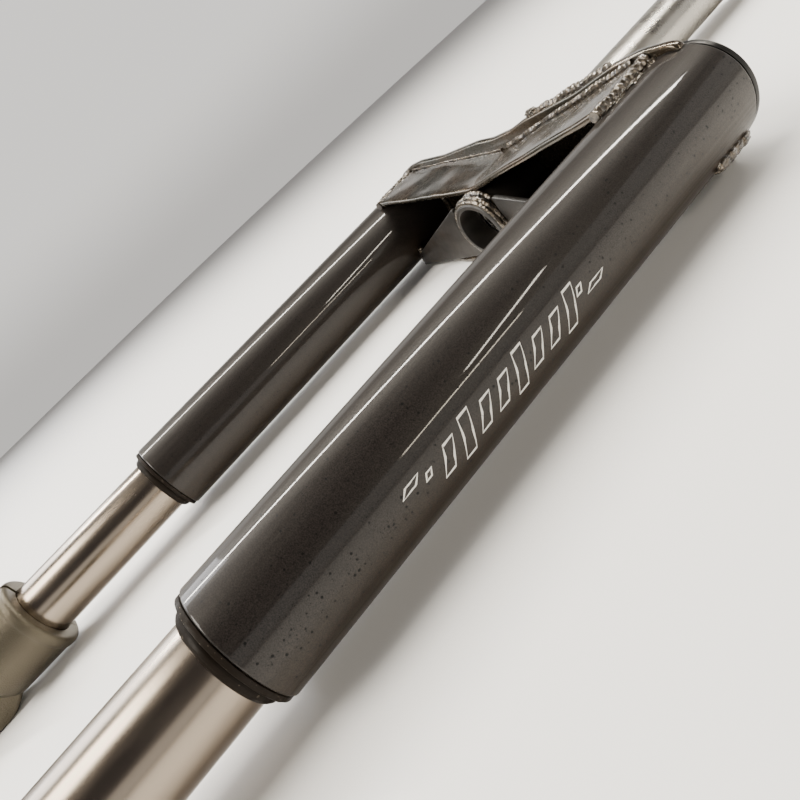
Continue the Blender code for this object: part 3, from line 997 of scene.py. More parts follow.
def cut_by(piece: bpy.types.Object, bm: bmesh.types.BMesh, operation: str) -> None:
    """Cuts another solid from a piece, or joins it to it, and keeps the result.

    Args:
        piece: the piece.
        bm: the other solid, which is freed.
        operation: DIFFERENCE or UNION.
    """
    mesh = bpy.data.meshes.new("cutter")
    bm.to_mesh(mesh)
    bm.free()
    cutter = bpy.data.objects.new("cutter", mesh)
    bpy.context.scene.collection.objects.link(cutter)
    boolean = piece.modifiers.new("cut", "BOOLEAN")
    boolean.operation = operation
    boolean.solver = "EXACT"
    boolean.object = cutter
    bpy.context.view_layer.update()
    depsgraph = bpy.context.evaluated_depsgraph_get()
    result = bpy.data.meshes.new_from_object(piece.evaluated_get(depsgraph))
    piece.modifiers.clear()
    old = piece.data
    piece.data = result
    bpy.data.meshes.remove(old)
    bpy.data.objects.remove(cutter)
    bpy.data.meshes.remove(mesh)


def solid(name: str, bm: bmesh.types.BMesh, *cuts: tuple[str, bmesh.types.BMesh]) -> bmesh.types.BMesh:
    """Applies a run of cuts and joins to a mesh.

    Args:
        name: a name for the object while it exists.
        bm: the mesh, which is freed.
        cuts: pairs of an operation and the other solid.

    Returns:
        The resulting mesh.
    """
    mesh = bpy.data.meshes.new(name)
    bm.to_mesh(mesh)
    bm.free()
    carrier = bpy.data.objects.new(name, mesh)
    bpy.context.scene.collection.objects.link(carrier)
    for operation, cutter in cuts:
        cut_by(carrier, cutter, operation)
    result = bmesh.new()
    result.from_mesh(carrier.data)
    mesh = carrier.data
    bpy.data.objects.remove(carrier)
    bpy.data.meshes.remove(mesh)
    return result


def box_mesh(low: Vector, high: Vector, edge: float = 0.0) -> bmesh.types.BMesh:
    """A box between two corners, with its edges rounded."""
    bm = bmesh.new()
    bmesh.ops.create_cube(bm, size=1)
    bmesh.ops.scale(bm, vec=high - low, verts=bm.verts)
    bmesh.ops.translate(bm, vec=(high + low) / 2, verts=bm.verts)
    if edge:
        rounded_edges(bm, edge, 4)
    return bm


def rod_mesh(
    radius: float, start: Vector, end: Vector, sides: int = 48, edge: float = 0.0
) -> bmesh.types.BMesh:
    """A bar between two points, with its end edges rounded."""
    bm = bmesh.new()
    along = end - start
    bmesh.ops.create_cone(
        bm, cap_ends=True, segments=sides, radius1=radius, radius2=radius, depth=along.length
    )
    if edge:
        rounded_edges(bm, edge, 2, 60)
    turn = along.to_track_quat("Z", "Y").to_matrix().to_4x4()
    bmesh.ops.transform(bm, matrix=Matrix.Translation((start + end) / 2) @ turn, verts=bm.verts)
    return bm


# The legs


@dataclass
class Leg:
    """One leg: the tube and what is fixed in it, and the slider with its foot."""

    side: Side
    radius: float = 20 * MM
    bore: float = 18 * MM
    top: float = 220 * MM

    @property
    def axis(self) -> Matrix:
        """The leg's axis."""
        return DATUM.leg(self.side)

    def node(self, word: str) -> str:
        """This leg's node of that name."""
        return f"{self.side.word}_{word}"

    def add(
        self,
        word: str,
        bm: bmesh.types.BMesh,
        finish: Finish,
        body: Body = Body.CROWN,
        smooth: float = 32,
    ) -> bpy.types.Object:
        """Turns a mesh into the piece that stands for this leg's node of that name."""
        node = self.node(word)
        return finished(f"{node}_finish", bm, finish, body, [node], smooth)

    def build(self) -> None:
        """Builds every piece of the leg."""
        self.outer_tube()
        self.retainer()
        self.dust_seal()
        self.bushes()
        self.cap()
        self.rod()
        self.spring()
        self.stanchion()
        Foot(self).build()

    def outer_tube(self) -> None:
        """The lacquered tube: its rims rounded, as a parting tool and a file leave them."""
        profile = [
            (self.radius, self.top - 0.7 * MM),
            (self.radius, 0.5 * MM),
            (self.radius - 0.45 * MM, 0),
            (self.bore, 0),
            (self.bore, self.top),
            (self.radius - 0.6 * MM, self.top),
        ]
        self.add("outer_tube", turned(profile, self.axis, 0.35 * MM, 160), TUBE)

    def retainer(self) -> None:
        """The flanged ring in the tube's end, its flange rough with grease and old lacquer."""
        spigot, inner, flange = self.bore - 0.3 * MM, 15.6 * MM, 19.4 * MM
        profile = [
            (spigot, 3.7 * MM),
            (spigot, -0.3 * MM),
            (flange, -0.3 * MM),
            (flange, -2.0 * MM),
            (inner, -2.0 * MM),
            (inner, 3.7 * MM),
        ]
        bm = turned(profile, self.axis, 0.3 * MM, 160)
        for vert in bm.verts:
            low = vert.co.y < DATUM.rim - 0.2 * MM
            if low:
                vert.co += noise.noise_vector(vert.co * 500) * 0.12 * MM
        self.add("seal_retainer", bm, GREASY_RING)

    def dust_seal(self) -> None:
        """The rubber wiper, rounded down to a thin lip on the stanchion."""
        inner = 15.25 * MM
        profile = [
            (17.1 * MM, -2.3 * MM),
            (17.1 * MM, -3.4 * MM),
            (16.75 * MM, -4.4 * MM),
            (16.1 * MM, -5.2 * MM),
            (15.5 * MM, -5.6 * MM),
            (inner, -5.5 * MM),
            (inner, -2.3 * MM),
        ]
        bm = turned(profile, self.axis, 0.25 * MM, 128)
        self.add("dust_seal", bm, RUBBER)

    def bushes(self) -> None:
        """The bush low in the tube, the preload spacer over the spring, and the buffer on the rod."""
        bush = [
            (17.7 * MM, 26 * MM),
            (17.7 * MM, 4 * MM),
            (15.3 * MM, 4 * MM),
            (15.3 * MM, 26 * MM),
        ]
        self.add("lower_bush", turned(bush, self.axis, 0.5 * MM, 96), NYLON)
        spacer = tube(16.8 * MM, 13.8 * MM, 190.3 * MM, 203.7 * MM)
        self.add("preload_spacer", turned(spacer, self.axis, 0.5 * MM, 96), NYLON)
        buffer = tube(9 * MM, 5.3 * MM, 46.3 * MM, 53.7 * MM)
        self.add("rebound_buffer", turned(buffer, self.axis, 1.2 * MM, 64), RUBBER)
        piston = [
            (17.7 * MM, 80 * MM),
            (17.7 * MM, 72.5 * MM),
            (17.0 * MM, 72 * MM),
            (17.0 * MM, 70 * MM),
            (17.7 * MM, 69.5 * MM),
            (17.7 * MM, 62.3 * MM),
            (12.5 * MM, 62.3 * MM),
            (12.5 * MM, 54 * MM),
            (5.3 * MM, 54 * MM),
            (5.3 * MM, 80 * MM),
        ]
        bm = turned(piston, self.axis, 0.35 * MM, 96)
        self.add("guide_piston", bm, NYLON, SLIDERS[self.side])

    def cap(self) -> None:
        """The black plug with its hexagon, and the rubber ring in its groove."""
        body, groove = 17.7 * MM, 15.8 * MM
        profile = [
            (0, 223 * MM),
            (18.8 * MM, 223 * MM),
            (19.6 * MM, 222.2 * MM),
            (19.6 * MM, 220.3 * MM),
            (body, 220.3 * MM),
            (body, 216.8 * MM),
            (groove, 216.8 * MM),
            (groove, 214.2 * MM),
            (body, 214.2 * MM),
            *thread(body, 0.6 * MM, 1.0 * MM, 206 * MM, 213.4 * MM),
            (body - 0.6 * MM, 204 * MM),
            (5.3 * MM, 204 * MM),
            (5.3 * MM, 212 * MM),
            (0, 212 * MM),
        ]
        plug = turned(profile, self.axis, 0.15 * MM, 128)
        head = hexagon(24 * MM, 222 * MM, 230 * MM, self.axis, 0.7 * MM)
        self.add("top_cap", joined(plug, head), BLACK_ZINC)
        middle, radius, height = 16.9 * MM, 0.9 * MM, 215.5 * MM
        ring = [
            (middle + radius * cos(2 * pi * n / 16), height - radius * sin(2 * pi * n / 16))
            for n in range(16)
        ]
        self.add("cap_o_ring", turned(ring, self.axis, 0, 128), RUBBER)

    def rod(self) -> None:
        """The guide rod with its head."""
        profile = [
            (0, 211.7 * MM),
            (5 * MM, 211.7 * MM),
            (5 * MM, 46 * MM),
            (9 * MM, 46 * MM),
            (9 * MM, 40 * MM),
            (0, 40 * MM),
        ]
        self.add("guide_rod", turned(profile, self.axis, 0.4 * MM, 64), STEEL)

    def spring(self) -> None:
        """The coil spring, its end turns closed."""
        wire, mean, turns, steps = 1.9 * MM, 15.4 * MM, 10, 40
        low, high = 80.3 * MM + wire, 190 * MM - wire
        closed = 2 * wire
        rise = (high - low - 2 * closed) / (turns - 2)
        points = []
        for n in range(turns * steps + 1):
            turn = n / steps
            height = low + closed * min(turn, 1) + rise * min(max(turn - 1, 0), turns - 2)
            height += closed * max(turn - (turns - 1), 0)
            angle = 2 * pi * turn
            points.append(self.axis @ Vector((mean * cos(angle), mean * sin(angle), height)))
        bm = swept("coil", points, [wire * 0.97] * len(points), 3)
        made = self.add("main_spring", bm, SPRING)
        top = DATUM.at(self.side.value * DATUM.leg_x, 190 * MM, 0)
        tuple(top)
        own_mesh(made)

    def stanchion(self) -> None:
        """The chromed tube, with a turned edge at both ends."""
        profile = tube(15 * MM, 12.8 * MM, -117.7 * MM, 62 * MM)
        bm = turned(profile, self.axis, 0.5 * MM, 160)
        self.add("stanchion", bm, CHROME, SLIDERS[self.side])


@dataclass
class Foot:
    """The cast foot on a stanchion, with its pinch bolt and nut."""

    leg: Leg
    axle: float = -145 * MM
    eye: float = 17.8 * MM
    slot: float = 12 * MM
    thickness: float = 20 * MM
    ear_front: float = 30.5 * MM
    bolt_front: float = 25.6 * MM
    bolt_height: float = -103 * MM
    spanner: float = 10 * MM

    @property
    def inward(self) -> int:
        """The sign of X towards the wheel."""
        return -self.leg.side.value

    def at(self, out: float, front: float, along: float) -> Vector:
        """A point from the leg's axis: so far towards the wheel, to the front and up the leg."""
        return DATUM.at(self.leg.side.value * DATUM.leg_x + self.inward * out, along, front)

    def build(self) -> None:
        """Builds the foot and its fasteners."""
        body = SLIDERS[self.leg.side]
        self.leg.add("fork_foot", self.casting(), CAST, body, 50)
        self.leg.add("pinch_bolt", self.bolt(), ZINC, body)
        self.leg.add("pinch_nut", self.nut(), ZINC, body)

    def outline(self) -> list[Point]:
        """The web from the side, as (front, along) points: the eye, its open slot and the heel."""
        half, rest = self.slot / 2, 23.8 * MM

        def arc(radius: float, start: float, end: float, count: int) -> list[Point]:
            """Points round the axle, from one angle to another in degrees."""
            angles = [radians(start + (end - start) * n / (count - 1)) for n in range(count)]
            return [(radius * cos(a), self.axle + radius * sin(a)) for a in angles]

        mouth = 90 - 180 / pi * atan2(half, sqrt(self.eye**2 - half**2))
        lower = arc(self.eye, mouth - 180, -145, 9)
        heel = softened(
            [
                lower[-1],
                (-rest, self.axle - 6 * MM),
                (-rest, self.axle + 18 * MM),
                (-16.5 * MM, -113 * MM),
                (15.5 * MM, -113 * MM),
                (17.8 * MM, self.axle + 6 * MM),
            ],
            4 * MM,
            False,
            5,
        )
        round_eye = arc(self.eye, 0, -mouth, 25)
        slot = arc(half, 0, 180, 25)
        return round_eye + slot + lower[:-1] + heel

    def casting(self) -> bmesh.types.BMesh:
        """The collar, web, ears and lug joined, rounded as cast, then bored and split."""
        lip, collar, top, bottom = 22 * MM, 21.3 * MM, -85 * MM, -122 * MM
        profile = [
            (0, top),
            (lip - 1.4 * MM, top),
            (lip, top - 1.4 * MM),
            (lip, top - 4.6 * MM),
            (collar, top - 6 * MM),
            (collar - 0.6 * MM, bottom + 4 * MM),
            (collar - 4 * MM, bottom),
            (0, bottom),
        ]
        body = turned(profile, self.leg.axis, 1.2 * MM, 96)
        x = self.leg.side.value * DATUM.leg_x
        half = self.thickness / 2
        web = slab(self.outline(), x - half, x + half, lambda a, b, c: DATUM.at(c, b, a))
        rounded_edges(web, 1.4 * MM, 3, 60, 0)
        ears = box_mesh(
            self.at(-9 * MM if self.inward > 0 else 9 * MM, 13 * MM, -113 * MM),
            self.at(9 * MM if self.inward > 0 else -9 * MM, self.ear_front, -93 * MM),
            3 * MM,
        )
        cuts = [("UNION", web), ("UNION", ears)]
        if self.leg.side is Side.LEFT:
            near, far = sorted((self.at(28 * MM, 0, 0).x, self.at(15 * MM, 0, 0).x))
            lug = box_mesh(
                DATUM.at(near, -119 * MM, -6 * MM), DATUM.at(far, -107 * MM, 6 * MM), 1.6 * MM
            )
            cuts.append(("UNION", lug))
        bore = turned(
            [(0, -75 * MM), (15.3 * MM, -75 * MM), (15.3 * MM, -118 * MM), (0, -118 * MM)],
            self.leg.axis,
            0,
            96,
        )
        slit = box_mesh(
            DATUM.at(x - 1.25 * MM, -116 * MM, 12 * MM), DATUM.at(x + 1.25 * MM, -75 * MM, 41 * MM)
        )
        hole = rod_mesh(
            3.3 * MM,
            self.at(-20 * MM, self.bolt_front, self.bolt_height),
            self.at(20 * MM, self.bolt_front, self.bolt_height),
        )
        cuts += [("DIFFERENCE", bore), ("DIFFERENCE", slit), ("DIFFERENCE", hole)]
        return solid("casting", body, *cuts)

    def bolt(self) -> bmesh.types.BMesh:
        """The hexagon bolt, its head on the outer side, with its thread beyond the nut."""
        head, height, reach = 9.3 * MM, 4 * MM, 15.7 * MM
        shank = [
            (0, reach),
            (2.5 * MM, reach),
            *thread(3 * MM, 0.35 * MM, 1.0 * MM, -2 * MM, reach - 0.6 * MM),
            (3 * MM, -2.6 * MM),
            (3 * MM, -head - 0.2 * MM),
            (0, -head - 0.2 * MM),
        ]
        turn = self.across()
        bm = turned(shank, turn, 0.1 * MM, 48)
        cap = hexagon(self.spanner, -head - height, -head, turn @ FLAT_UP, 0.45 * MM)
        washer = turned(
            [(0, -head), (4.9 * MM, -head), (4.9 * MM, -head - 0.5 * MM), (0, -head - 0.5 * MM)],
            turn,
            0.1 * MM,
            48,
        )
        return joined(bm, cap, washer)

    def nut(self) -> bmesh.types.BMesh:
        """The nut, chamfered on both faces, its bore stepped like a thread."""
        low, high = 9.3 * MM, 13.8 * MM
        turn = self.across()
        bm = hexagon(self.spanner, low, high, turn @ FLAT_UP, 0.4 * MM)
        bore = [
            (0, high + 1 * MM),
            (3.5 * MM, high + 1 * MM),
            (3.15 * MM, high - 0.5 * MM),
            (3.15 * MM, low + 0.5 * MM),
            (3.5 * MM, low - 1 * MM),
            (0, low - 1 * MM),
        ]
        return solid("nut", bm, ("DIFFERENCE", turned(bore, turn, 0, 48)))

    def across(self) -> Matrix:
        """Turns local Z towards the wheel, with its zero at the pinch bolt on the leg's axis."""
        turn = Matrix.Rotation(self.inward * pi / 2, 4, "Y")
        return Matrix.Translation(self.at(0, self.bolt_front, self.bolt_height)) @ turn


# The crown


@dataclass
class Crown:
    """The welded sheet crown with the steerer."""

    plate_top: float = 219.5 * MM
    plate: float = 3.5 * MM
    sheet: float = 2.8 * MM
    low: float = 187 * MM
    back: float = 23.8 * MM
    reach: float = 84 * MM
    rise: float = 19.6 * MM
    dip: float = 9.3 * MM

    def build(self) -> None:
        """Builds the crown's pieces and its welds."""
        self.top_plate()
        self.front_plate()
        self.rear_plate()
        for side in Side:
            self.web(side)
        self.sleeve()
        self.steerer()
        self.welds()

    def add(self, word: str, bm: bmesh.types.BMesh, finish: Finish, smooth: float = 32) -> None:
        """Turns a mesh into the piece that stands for that node of the crown."""
        finished(f"{word}_finish", bm, finish, Body.CROWN, [word], smooth)

    def top_plate(self) -> None:
        """The flat plate across the legs, flame-cut and dressed by hand."""
        half = [(7, 18.6), (18, 20.3), (50, 21.4), (71, 24.2), (83, 24.2), (94, 22.2)]
        edge = [(x * MM, front * MM) for x, front in half]
        mirrored = [(-x, front) for x, front in reversed(edge)]
        end = 97 * MM
        corners = [(end, 20 * MM), (end, -self.back), (-end, -self.back), (-end, 20 * MM)]
        outline = softened(mirrored + edge + corners, 3 * MM, steps=4)
        low = self.plate_top - self.plate
        bm = slab(outline, low, self.plate_top, lambda a, b, c: DATUM.at(a, c, b))
        rounded_edges(bm, 0.9 * MM, 3, 60)
        cuts = [
            ("DIFFERENCE", turned(self.hole(20.3 * MM), DATUM.leg(side), 0, 128)) for side in Side
        ]
        cuts.append(("DIFFERENCE", turned(self.hole(15.3 * MM), DATUM.steerer(), 0, 96)))
        self.add("crown_top_plate", solid("plate", bm, *cuts), SHEET)

    def hole(self, radius: float) -> list[Point]:
        """A cutter through the top plate."""
        low, high = self.plate_top - 15 * MM, self.plate_top + 15 * MM
        return [(0, high), (radius, high), (radius, low), (0, low)]

    def front_line(self, x: float) -> float:
        """Where the dished sheet's inner face stands in front of the legs' plane, at x."""
        return self.dip + (self.rise - self.dip) * abs(x) / self.reach

    def front_plate(self) -> None:
        """The dished sheet, with its fold over the steerer rounded and its edges dressed."""
        count = 42
        xs = [self.reach * (2 * n / count - 1) for n in range(count + 1)]
        fold = 3.2 * MM

        def line(x: float, out: float) -> Point:
            """The sheet's line at x, its fold rounded, so far out from the inner face."""
            bend = max(0.0, fold - abs(x)) ** 2 / (2 * fold) * (self.rise - self.dip) / self.reach
            return x, self.front_line(x) + bend + out

        outline = [line(x, 0) for x in xs] + [line(x, self.sheet) for x in reversed(xs)]
        top = self.plate_top - self.plate - 0.3 * MM
        bm = slab(outline, self.low, top, lambda a, b, c: DATUM.at(a, c, b))
        rounded_edges(bm, 1.2 * MM, 4, 60)
        rim = DATUM.rim
        sliced(bm, 1, rim + self.low + 1.5 * MM, rim + top - 1.5 * MM, 8)
        loosened(bm, 0.55 * MM, 45, Vector((0, 0, 1)), 4)
        loosened(bm, 0.2 * MM, 160, Vector((0, 0.4, 1)), 9)
        self.add("crown_front_plate", bm, SHEET)

    def rear_plate(self) -> None:
        """The rear sheet, whose lower edge drops towards the steerer."""
        top = self.plate_top - self.plate - 0.3 * MM
        corners = [
            (86 * MM, top),
            (86 * MM, 193 * MM),
            (34 * MM, 183 * MM),
            (-34 * MM, 183 * MM),
            (-86 * MM, 193 * MM),
            (-86 * MM, top),
        ]
        outline = softened(corners, 5 * MM, steps=5)
        bm = slab(
            outline, -self.back, 2.5 * MM - self.back, lambda a, b, c: DATUM.at(a, b, c)
        )
        rounded_edges(bm, 0.7 * MM, 3, 60)
        self.add("crown_rear_plate", bm, SHEET)

    def web(self, side: Side) -> None:
        """A three-cornered sheet from the sleeve to a tube."""
        back = 2.8 * MM - self.back
        corners = [(16.2 * MM, 7 * MM), (71 * MM, -12 * MM), (77 * MM, back), (16.2 * MM, back)]
        outline = [(side.value * x, front) for x, front in softened(corners, 1.5 * MM)]
        low = 183.2 * MM
        bm = slab(outline, low, low + 2.5 * MM, lambda a, b, c: DATUM.at(a, c, b))
        rounded_edges(bm, 0.6 * MM, 3, 60)
        # the web's near-black finish is painted shade of the crown's inside
        self.add(f"{side.word}_crown_web", bm, SHADE_PAINTED_SHEET)

    def sleeve(self) -> None:
        """The sleeve through the crown, its mouth rounded by the weld."""
        profile = [
            (15 * MM, 222 * MM),
            (15 * MM, 180.5 * MM),
            (14 * MM, 179.5 * MM),
            (12.3 * MM, 179.5 * MM),
            (12.3 * MM, 192 * MM),
            (13.3 * MM, 192 * MM),
            (13.3 * MM, 222 * MM),
        ]
        # the sleeve's near-black finish is painted shade in its bore
        self.add("steerer_sleeve", turned(profile, DATUM.steerer(), 0.5 * MM, 128), SHADE_PAINTED_SHEET)

    def steerer(self) -> None:
        """The steerer with its thread, and the race pressed on it."""
        pitch = 1.0 * MM
        profile = [
            (10.7 * MM, 397 * MM),
            (12.2 * MM, 397 * MM),
            *thread(13 * MM, 0.6 * MM, pitch, 356 * MM, 396 * MM),
            (13 * MM, 355 * MM),
            (13 * MM, 192.3 * MM),
            (10.7 * MM, 192.3 * MM),
        ]
        self.add("steerer_tube", turned(profile, DATUM.steerer(), 0.12 * MM, 96), STEEL)
        race = [
            (15.5 * MM, 232 * MM),
            (16.1 * MM, 229.4 * MM),
            (17.5 * MM, 227 * MM),
            (17.5 * MM, 222.3 * MM),
            (13.3 * MM, 222.3 * MM),
            (13.3 * MM, 232 * MM),
        ]
        self.add("crown_race", turned(race, DATUM.steerer(), 0.4 * MM, 128), STEEL)

    def welds(self) -> None:
        """The beads that hold the crown together."""
        for name, beads in self.seams().items():
            finished(name, joined(*beads), WELD, Body.CROWN)

    def patch(self, side: Side) -> list[bmesh.types.BMesh]:
        """Built-up weld on the tube: rough by the front sheet's end, and a run on the outer side."""
        draw = Random(40 + side.value)
        lumps = []
        for n in range(11):
            along = (190 + 2.5 * n + draw.uniform(-0.8, 0.8)) * MM
            across = (85.6 + draw.uniform(-0.9, 1.6)) * MM
            lean = (across - DATUM.leg_x) / (20 * MM)
            front = 20 * MM * sqrt(1 - lean**2) + 0.2 * MM
            size = Vector((draw.uniform(1.5, 2.6), draw.uniform(1.6, 2.8), draw.uniform(0.7, 1.2)))
            lumps.append(blob(DATUM.at(side.value * across, along, front), size * MM, 0.45, 50 + n))
        for n in range(4):
            angle = radians(draw.uniform(-48, -43))
            out, front = 20.2 * MM * cos(angle), 20.2 * MM * sin(angle)
            place = DATUM.at(side.value * (DATUM.leg_x + out), (200 + 4.4 * n) * MM, front)
            lumps.append(blob(place, Vector((2.0, 4.2, 2.0)) * MM, 0.14, 70 + n))
        return lumps

    def seams(self) -> dict[str, list[bmesh.types.BMesh]]:
        """Every bead, by the name of its seam.

        Returns:
            Seam names and their meshes.
        """
        seams: dict[str, list[bmesh.types.BMesh]] = {}
        for side in Side:
            seams[f"{side.word}_tube_weld"] = self.tube_seam(side)
            seams[f"{side.word}_rear_weld"] = self.rear_seam(side)
        seams["crown_front_weld"] = self.front_seam()
        seams["sleeve_weld"] = self.sleeve_seam()
        return seams

    def tube_seam(self, side: Side) -> list[bmesh.types.BMesh]:
        """The weld that ties the top plate and the front sheet's end to a tube."""
        out, top = side.value, self.plate_top - self.plate
        # under the top plate, from the front round the inner side to the back
        inner = 180 if side is Side.LEFT else 0
        sweep = (inner - out * 78, inner + out * 78)
        under = arc_path(DATUM.leg(side), 20.5 * MM, top - 0.7 * MM, *sweep)
        ring = Bead(1.4 * MM, 1.9 * MM, seed=3 + out).along("under", under)
        # up the front sheet's end, on the tube's crest
        foot = DATUM.at(out * 83.4 * MM, self.low - 0.3 * MM, 20.4 * MM)
        head = DATUM.at(out * 84.6 * MM, top - 0.6 * MM, 21.0 * MM)
        up = Bead(1.9 * MM, 2.3 * MM, 0.25, 0.5 * MM, 7 + out).along("up", [foot, head])
        return [ring, up, *self.patch(side)]

    def rear_seam(self, side: Side) -> list[bmesh.types.BMesh]:
        """The welds at the rear sheet's end and where the web meets the tube."""
        out, top = side.value, self.plate_top - self.plate
        low = DATUM.at(out * 84.8 * MM, 194 * MM, -20.7 * MM)
        high = DATUM.at(out * 84.8 * MM, top - 0.6 * MM, -20.7 * MM)
        rear = Bead(1.3 * MM, 2.0 * MM, seed=11 + out).along("rear", [low, high])
        corners = ((70.6, -9.5), (72.2, -13), (76.5, -19))
        web = [DATUM.at(out * x * MM, 184.6 * MM, front * MM) for x, front in corners]
        return [rear, Bead(1.3 * MM, 1.9 * MM, seed=15 + out).along("web", web)]

    def front_seam(self) -> list[bmesh.types.BMesh]:
        """The bead between the top plate and the dished sheet, and the ridge on the plate's edge."""
        top = self.plate_top - self.plate
        halves = []
        for out, size, seed in ((1, 1.1 * MM, 21), (-1, 0.45 * MM, 22)):
            line = []
            for n in range(16):
                x = out * (3 + 77 * n / 15) * MM
                front = self.front_line(x) + self.sheet + 0.5 * size
                line.append(DATUM.at(x, top - 0.4 * MM, front))
            halves.append(Bead(size, 2.0 * MM, 0.22, 0.3 * MM, seed).along("front", line))
        ridge = [
            DATUM.at(x * MM, self.plate_top - 0.4 * MM, front * MM)
            for x, front in ((21, 20.6), (30, 21.0), (44, 21.4), (56, 22.4), (68, 24.0))
        ]
        return [
            *halves,
            Bead(1.3 * MM, 2.6 * MM, 0.3, 0.9 * MM, 23).along("ridge", ridge),
            blob(DATUM.at(23 * MM, 219 * MM, 21 * MM), Vector((3.2, 2.0, 1.7)) * MM, 0.35, 5),
        ]

    def sleeve_seam(self) -> list[bmesh.types.BMesh]:
        """The rings of weld round the sleeve's lower mouth, and the one on the top plate."""
        runs = (
            (15.3 * MM, 181.0 * MM, 1.0 * MM, 31),
            (15.9 * MM, 183.0 * MM, 1.1 * MM, 32),
            (15.6 * MM, 186.9 * MM, 1.3 * MM, 33),
            (15.6 * MM, self.plate_top + 0.3 * MM, 1.0 * MM, 41),
        )
        rings = []
        for radius, height, size, seed in runs:
            path = arc_path(DATUM.steerer(), radius, height, 0, 354)
            rings.append(Bead(size, 2.0 * MM, seed=seed).along("ring", path, True))
        return rings


# The printed pattern


@dataclass(frozen=True)
class Print:
    """The pattern printed on the left tube: outlined slanted bars, with no meaning."""

    radius: float = 20.05 * MM
    line: float = 0.45 * MM
    thickness: float = 0.03 * MM

    def build(self) -> None:
        """Lays the bars on the tube."""
        bm = bmesh.new()
        for low, high, near, far, slant in self.bars():
            corners = [(low, near), (high, near), (high + slant, far), (low + slant, far)]
            self.outline(bm, corners)
        bmesh.ops.solidify(bm, geom=bm.faces[:], thickness=self.thickness)
        settled(bm, 1e-8)
        finished("left_tube_print", bm, INK, Body.CROWN, (), 60)

    def bars(self) -> list[tuple[float, float, float, float, float]]:
        """The bars: where each starts and ends along the tube, its sides in degrees, and its slant.

        Returns:
            One row for each bar.
        """
        rows = [(52, 57.5, 2, 8, 2.5), (59.5, 62, -3, 3, 1.5)]
        for n in range(8):
            start, wide = 64 + 7.6 * n, 16 if n % 3 == 1 else 11
            rows.append((start, start + 4.2, -4 - wide, -4 + wide, 5.0))
        rows += [(125, 127.5, -2, 5, 1.5), (128.5, 135, -8, -2, 2.5)]
        return [(a * MM, b * MM, c, d, e * MM) for a, b, c, d, e in rows]

    def outline(self, bm: bmesh.types.BMesh, corners: list[Point]) -> None:
        """A thin frame round four (along, degrees) corners, bent to the tube."""
        flat = [Vector((along, radians(angle) * self.radius)) for along, angle in corners]
        middle = sum(flat, Vector((0, 0))) / len(flat)
        rings: list[list[bmesh.types.BMVert]] = []
        for inset in (0.0, self.line):
            ring = []
            for n, corner in enumerate(flat):
                following = flat[(n + 1) % len(flat)]
                for step in range(6):
                    point = corner.lerp(following, step / 6)
                    away = middle - point
                    if inset:
                        point = point + away * min(0.45, inset * 1.6 / away.length)
                    ring.append(bm.verts.new(self.bent(point)))
            rings.append(ring)
        count = len(rings[0])
        for n in range(count):
            following = (n + 1) % count
            bm.faces.new((rings[0][n], rings[0][following], rings[1][following], rings[1][n]))

    def bent(self, point: Vector) -> Vector:
        """A flat point as a point on the left tube."""
        angle = point.y / self.radius
        x, front = self.radius * cos(angle), self.radius * sin(angle)
        return DATUM.at(DATUM.leg_x + x, point.x, front)


# The studio


@dataclass(frozen=True)
class Lamp:
    """An area light: where it stands, what it looks at, its size and its strength."""

    name: str
    place: Point3
    target: Point3
    size: Point
    power: float
    colour: str = "#ffffff"
    turn: float = 0

    def build(self) -> None:
        """Hangs the light."""
        light = bpy.data.lights.new(self.name, "AREA")
        light.shape = "RECTANGLE"
        light.size, light.size_y = self.size
        light.energy = self.power
        light.color = linear(self.colour)[:3]
        made = bpy.data.objects.new(self.name, light)
        place = Vector(self.place)
        length = Vector((cos(radians(self.turn)), sin(radians(self.turn)), 0))
        away = place - Vector(self.target)
        back = (away - length * away.dot(length)).normalized()
        turn = Matrix((length, back.cross(length), back)).transposed()
        made.matrix_world = Matrix.Translation(place) @ turn.to_4x4()
        bpy.context.scene.collection.objects.link(made)


LAMPS = (
    Lamp("key_strip", (-0.346, 0.429, 1.0), (0.09, 0, 0.04), (2.3, 0.05), 44, "#fffaf0", 56.6),
    Lamp("short_strip", (1.46, 0.76, 1.0), (0.107, 0, 0.035), (0.6, 0.06), 7.0, "#fff6e6", -31.8),
    Lamp("low_strip", (1.86, 0.55, 0.72), (0.108, 0, 0.032), (0.75, 0.05), 5.0, "#fff2da", -77.1),
    Lamp("soft_box", (-0.1, -0.85, 1.0), (0.05, -0.1, 0), (0.5, 0.8), 22, "#fdf6ea", 0),
    Lamp("back_soft", (-1.3, -0.9, 1.1), (0, 0, 0), (0.9, 0.9), 22, "#f6f7fb", 90),
)


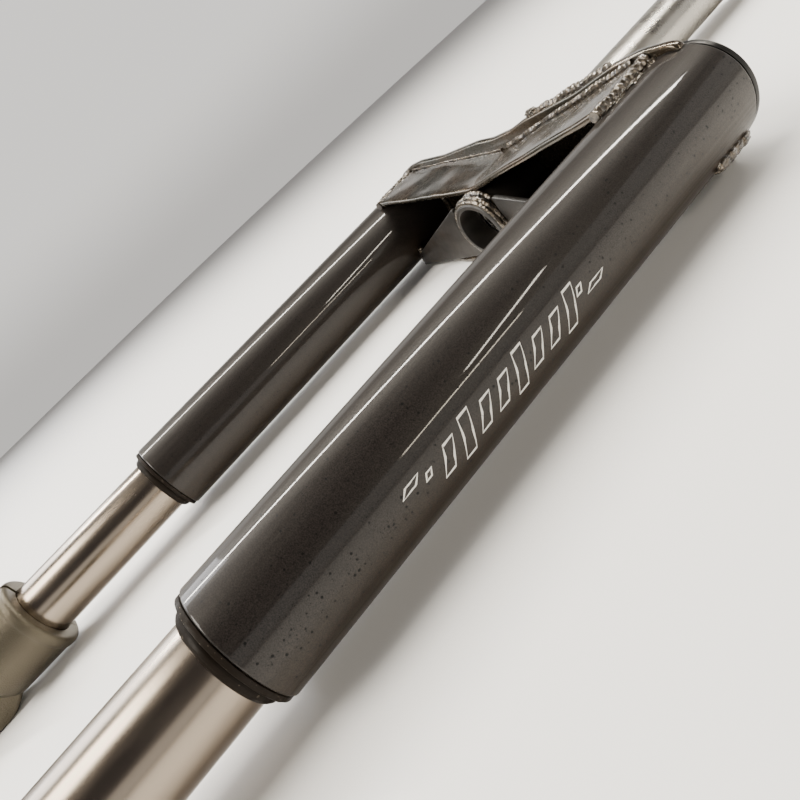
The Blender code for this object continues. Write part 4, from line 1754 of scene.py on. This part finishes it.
@dataclass(frozen=True)
class Studio:
    """The pale floor, the soft light and the camera."""

    lamps: tuple[Lamp, ...]
    floor: float = 2.4

    def build(self) -> None:
        """Builds the floor, the lights, the world and the camera."""
        self.ground()
        for lamp in self.lamps:
            lamp.build()
        self.world()
        place_camera()

    def ground(self) -> None:
        """A plain pale floor, round, with the surround beyond its far edge."""
        bm = bmesh.new()
        bmesh.ops.create_circle(bm, cap_ends=True, segments=96, radius=self.floor)
        mesh = bpy.data.meshes.new("floor")
        bm.to_mesh(mesh)
        bm.free()
        mesh.materials.append(FLOOR.material())
        ground = bpy.data.objects.new("floor", mesh)
        ground.location.z = -0.2 * MM
        bpy.context.scene.collection.objects.link(ground)
        ground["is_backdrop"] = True

    def world(self) -> None:
        """A pale surround, greyer at the horizon and dark overhead."""
        world = bpy.data.worlds.new("surround")
        world.use_nodes = True
        bpy.context.scene.world = world
        tree = world.node_tree
        view = add_node(tree, "ShaderNodeTexCoord").outputs["Generated"]
        parts = add_node(tree, "ShaderNodeSeparateXYZ", {"Vector": view})
        height = ranged(tree, parts.outputs["Z"], (0.33, 0.40), interpolation_type="SMOOTHSTEP")
        sweep = ranged(tree, parts.outputs["Z"], (0.0, 0.16), interpolation_type="SMOOTHSTEP")
        pale = mixed(tree, sweep, linear("#c6c3bf"), linear("#f4f1ec"))
        colour = mixed(tree, height, pale, linear("#454346"))
        background = tree.nodes["Background"]
        tree.links.new(colour, background.inputs["Color"])
        background.inputs["Strength"].default_value = 1.2


def place_camera() -> None:
    """Sets the camera in front of the left leg, looking along the fork from its lower end."""
    camera = bpy.data.objects.new("camera", bpy.data.cameras.new("camera"))
    camera.data.lens = 26.87
    camera.data.sensor_width = 36
    camera.data.clip_start = 0.005
    right = Vector((0.44428, 0.63888, -0.62805))
    ahead = Vector((-0.88822, 0.22258, -0.4019))
    turn = Matrix((right, right.cross(ahead), -ahead)).transposed()
    camera.matrix_world = (
        Matrix.Translation((0.2368, DATUM.rim + 0.0375, 0.1002)) @ turn.to_4x4()
    )
    bpy.context.scene.collection.objects.link(camera)
    bpy.context.scene.camera = camera


def main() -> None:
    """Builds the fork's looks, then the studio."""
    logging.basicConfig(level=logging.INFO, format="%(name)s: %(message)s")
    noise.seed_set(NOISE_SEED)
    for side in Side:
        Leg(side).build()
    Crown().build()
    Print().build()
    Studio(LAMPS).build()


if __name__ == "__main__":
    main()
    boxes = {"cad": CAD_BOX, "visual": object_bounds()}
    {k: [list(map(float, corner)) for corner in box] for k, box in boxes.items()}
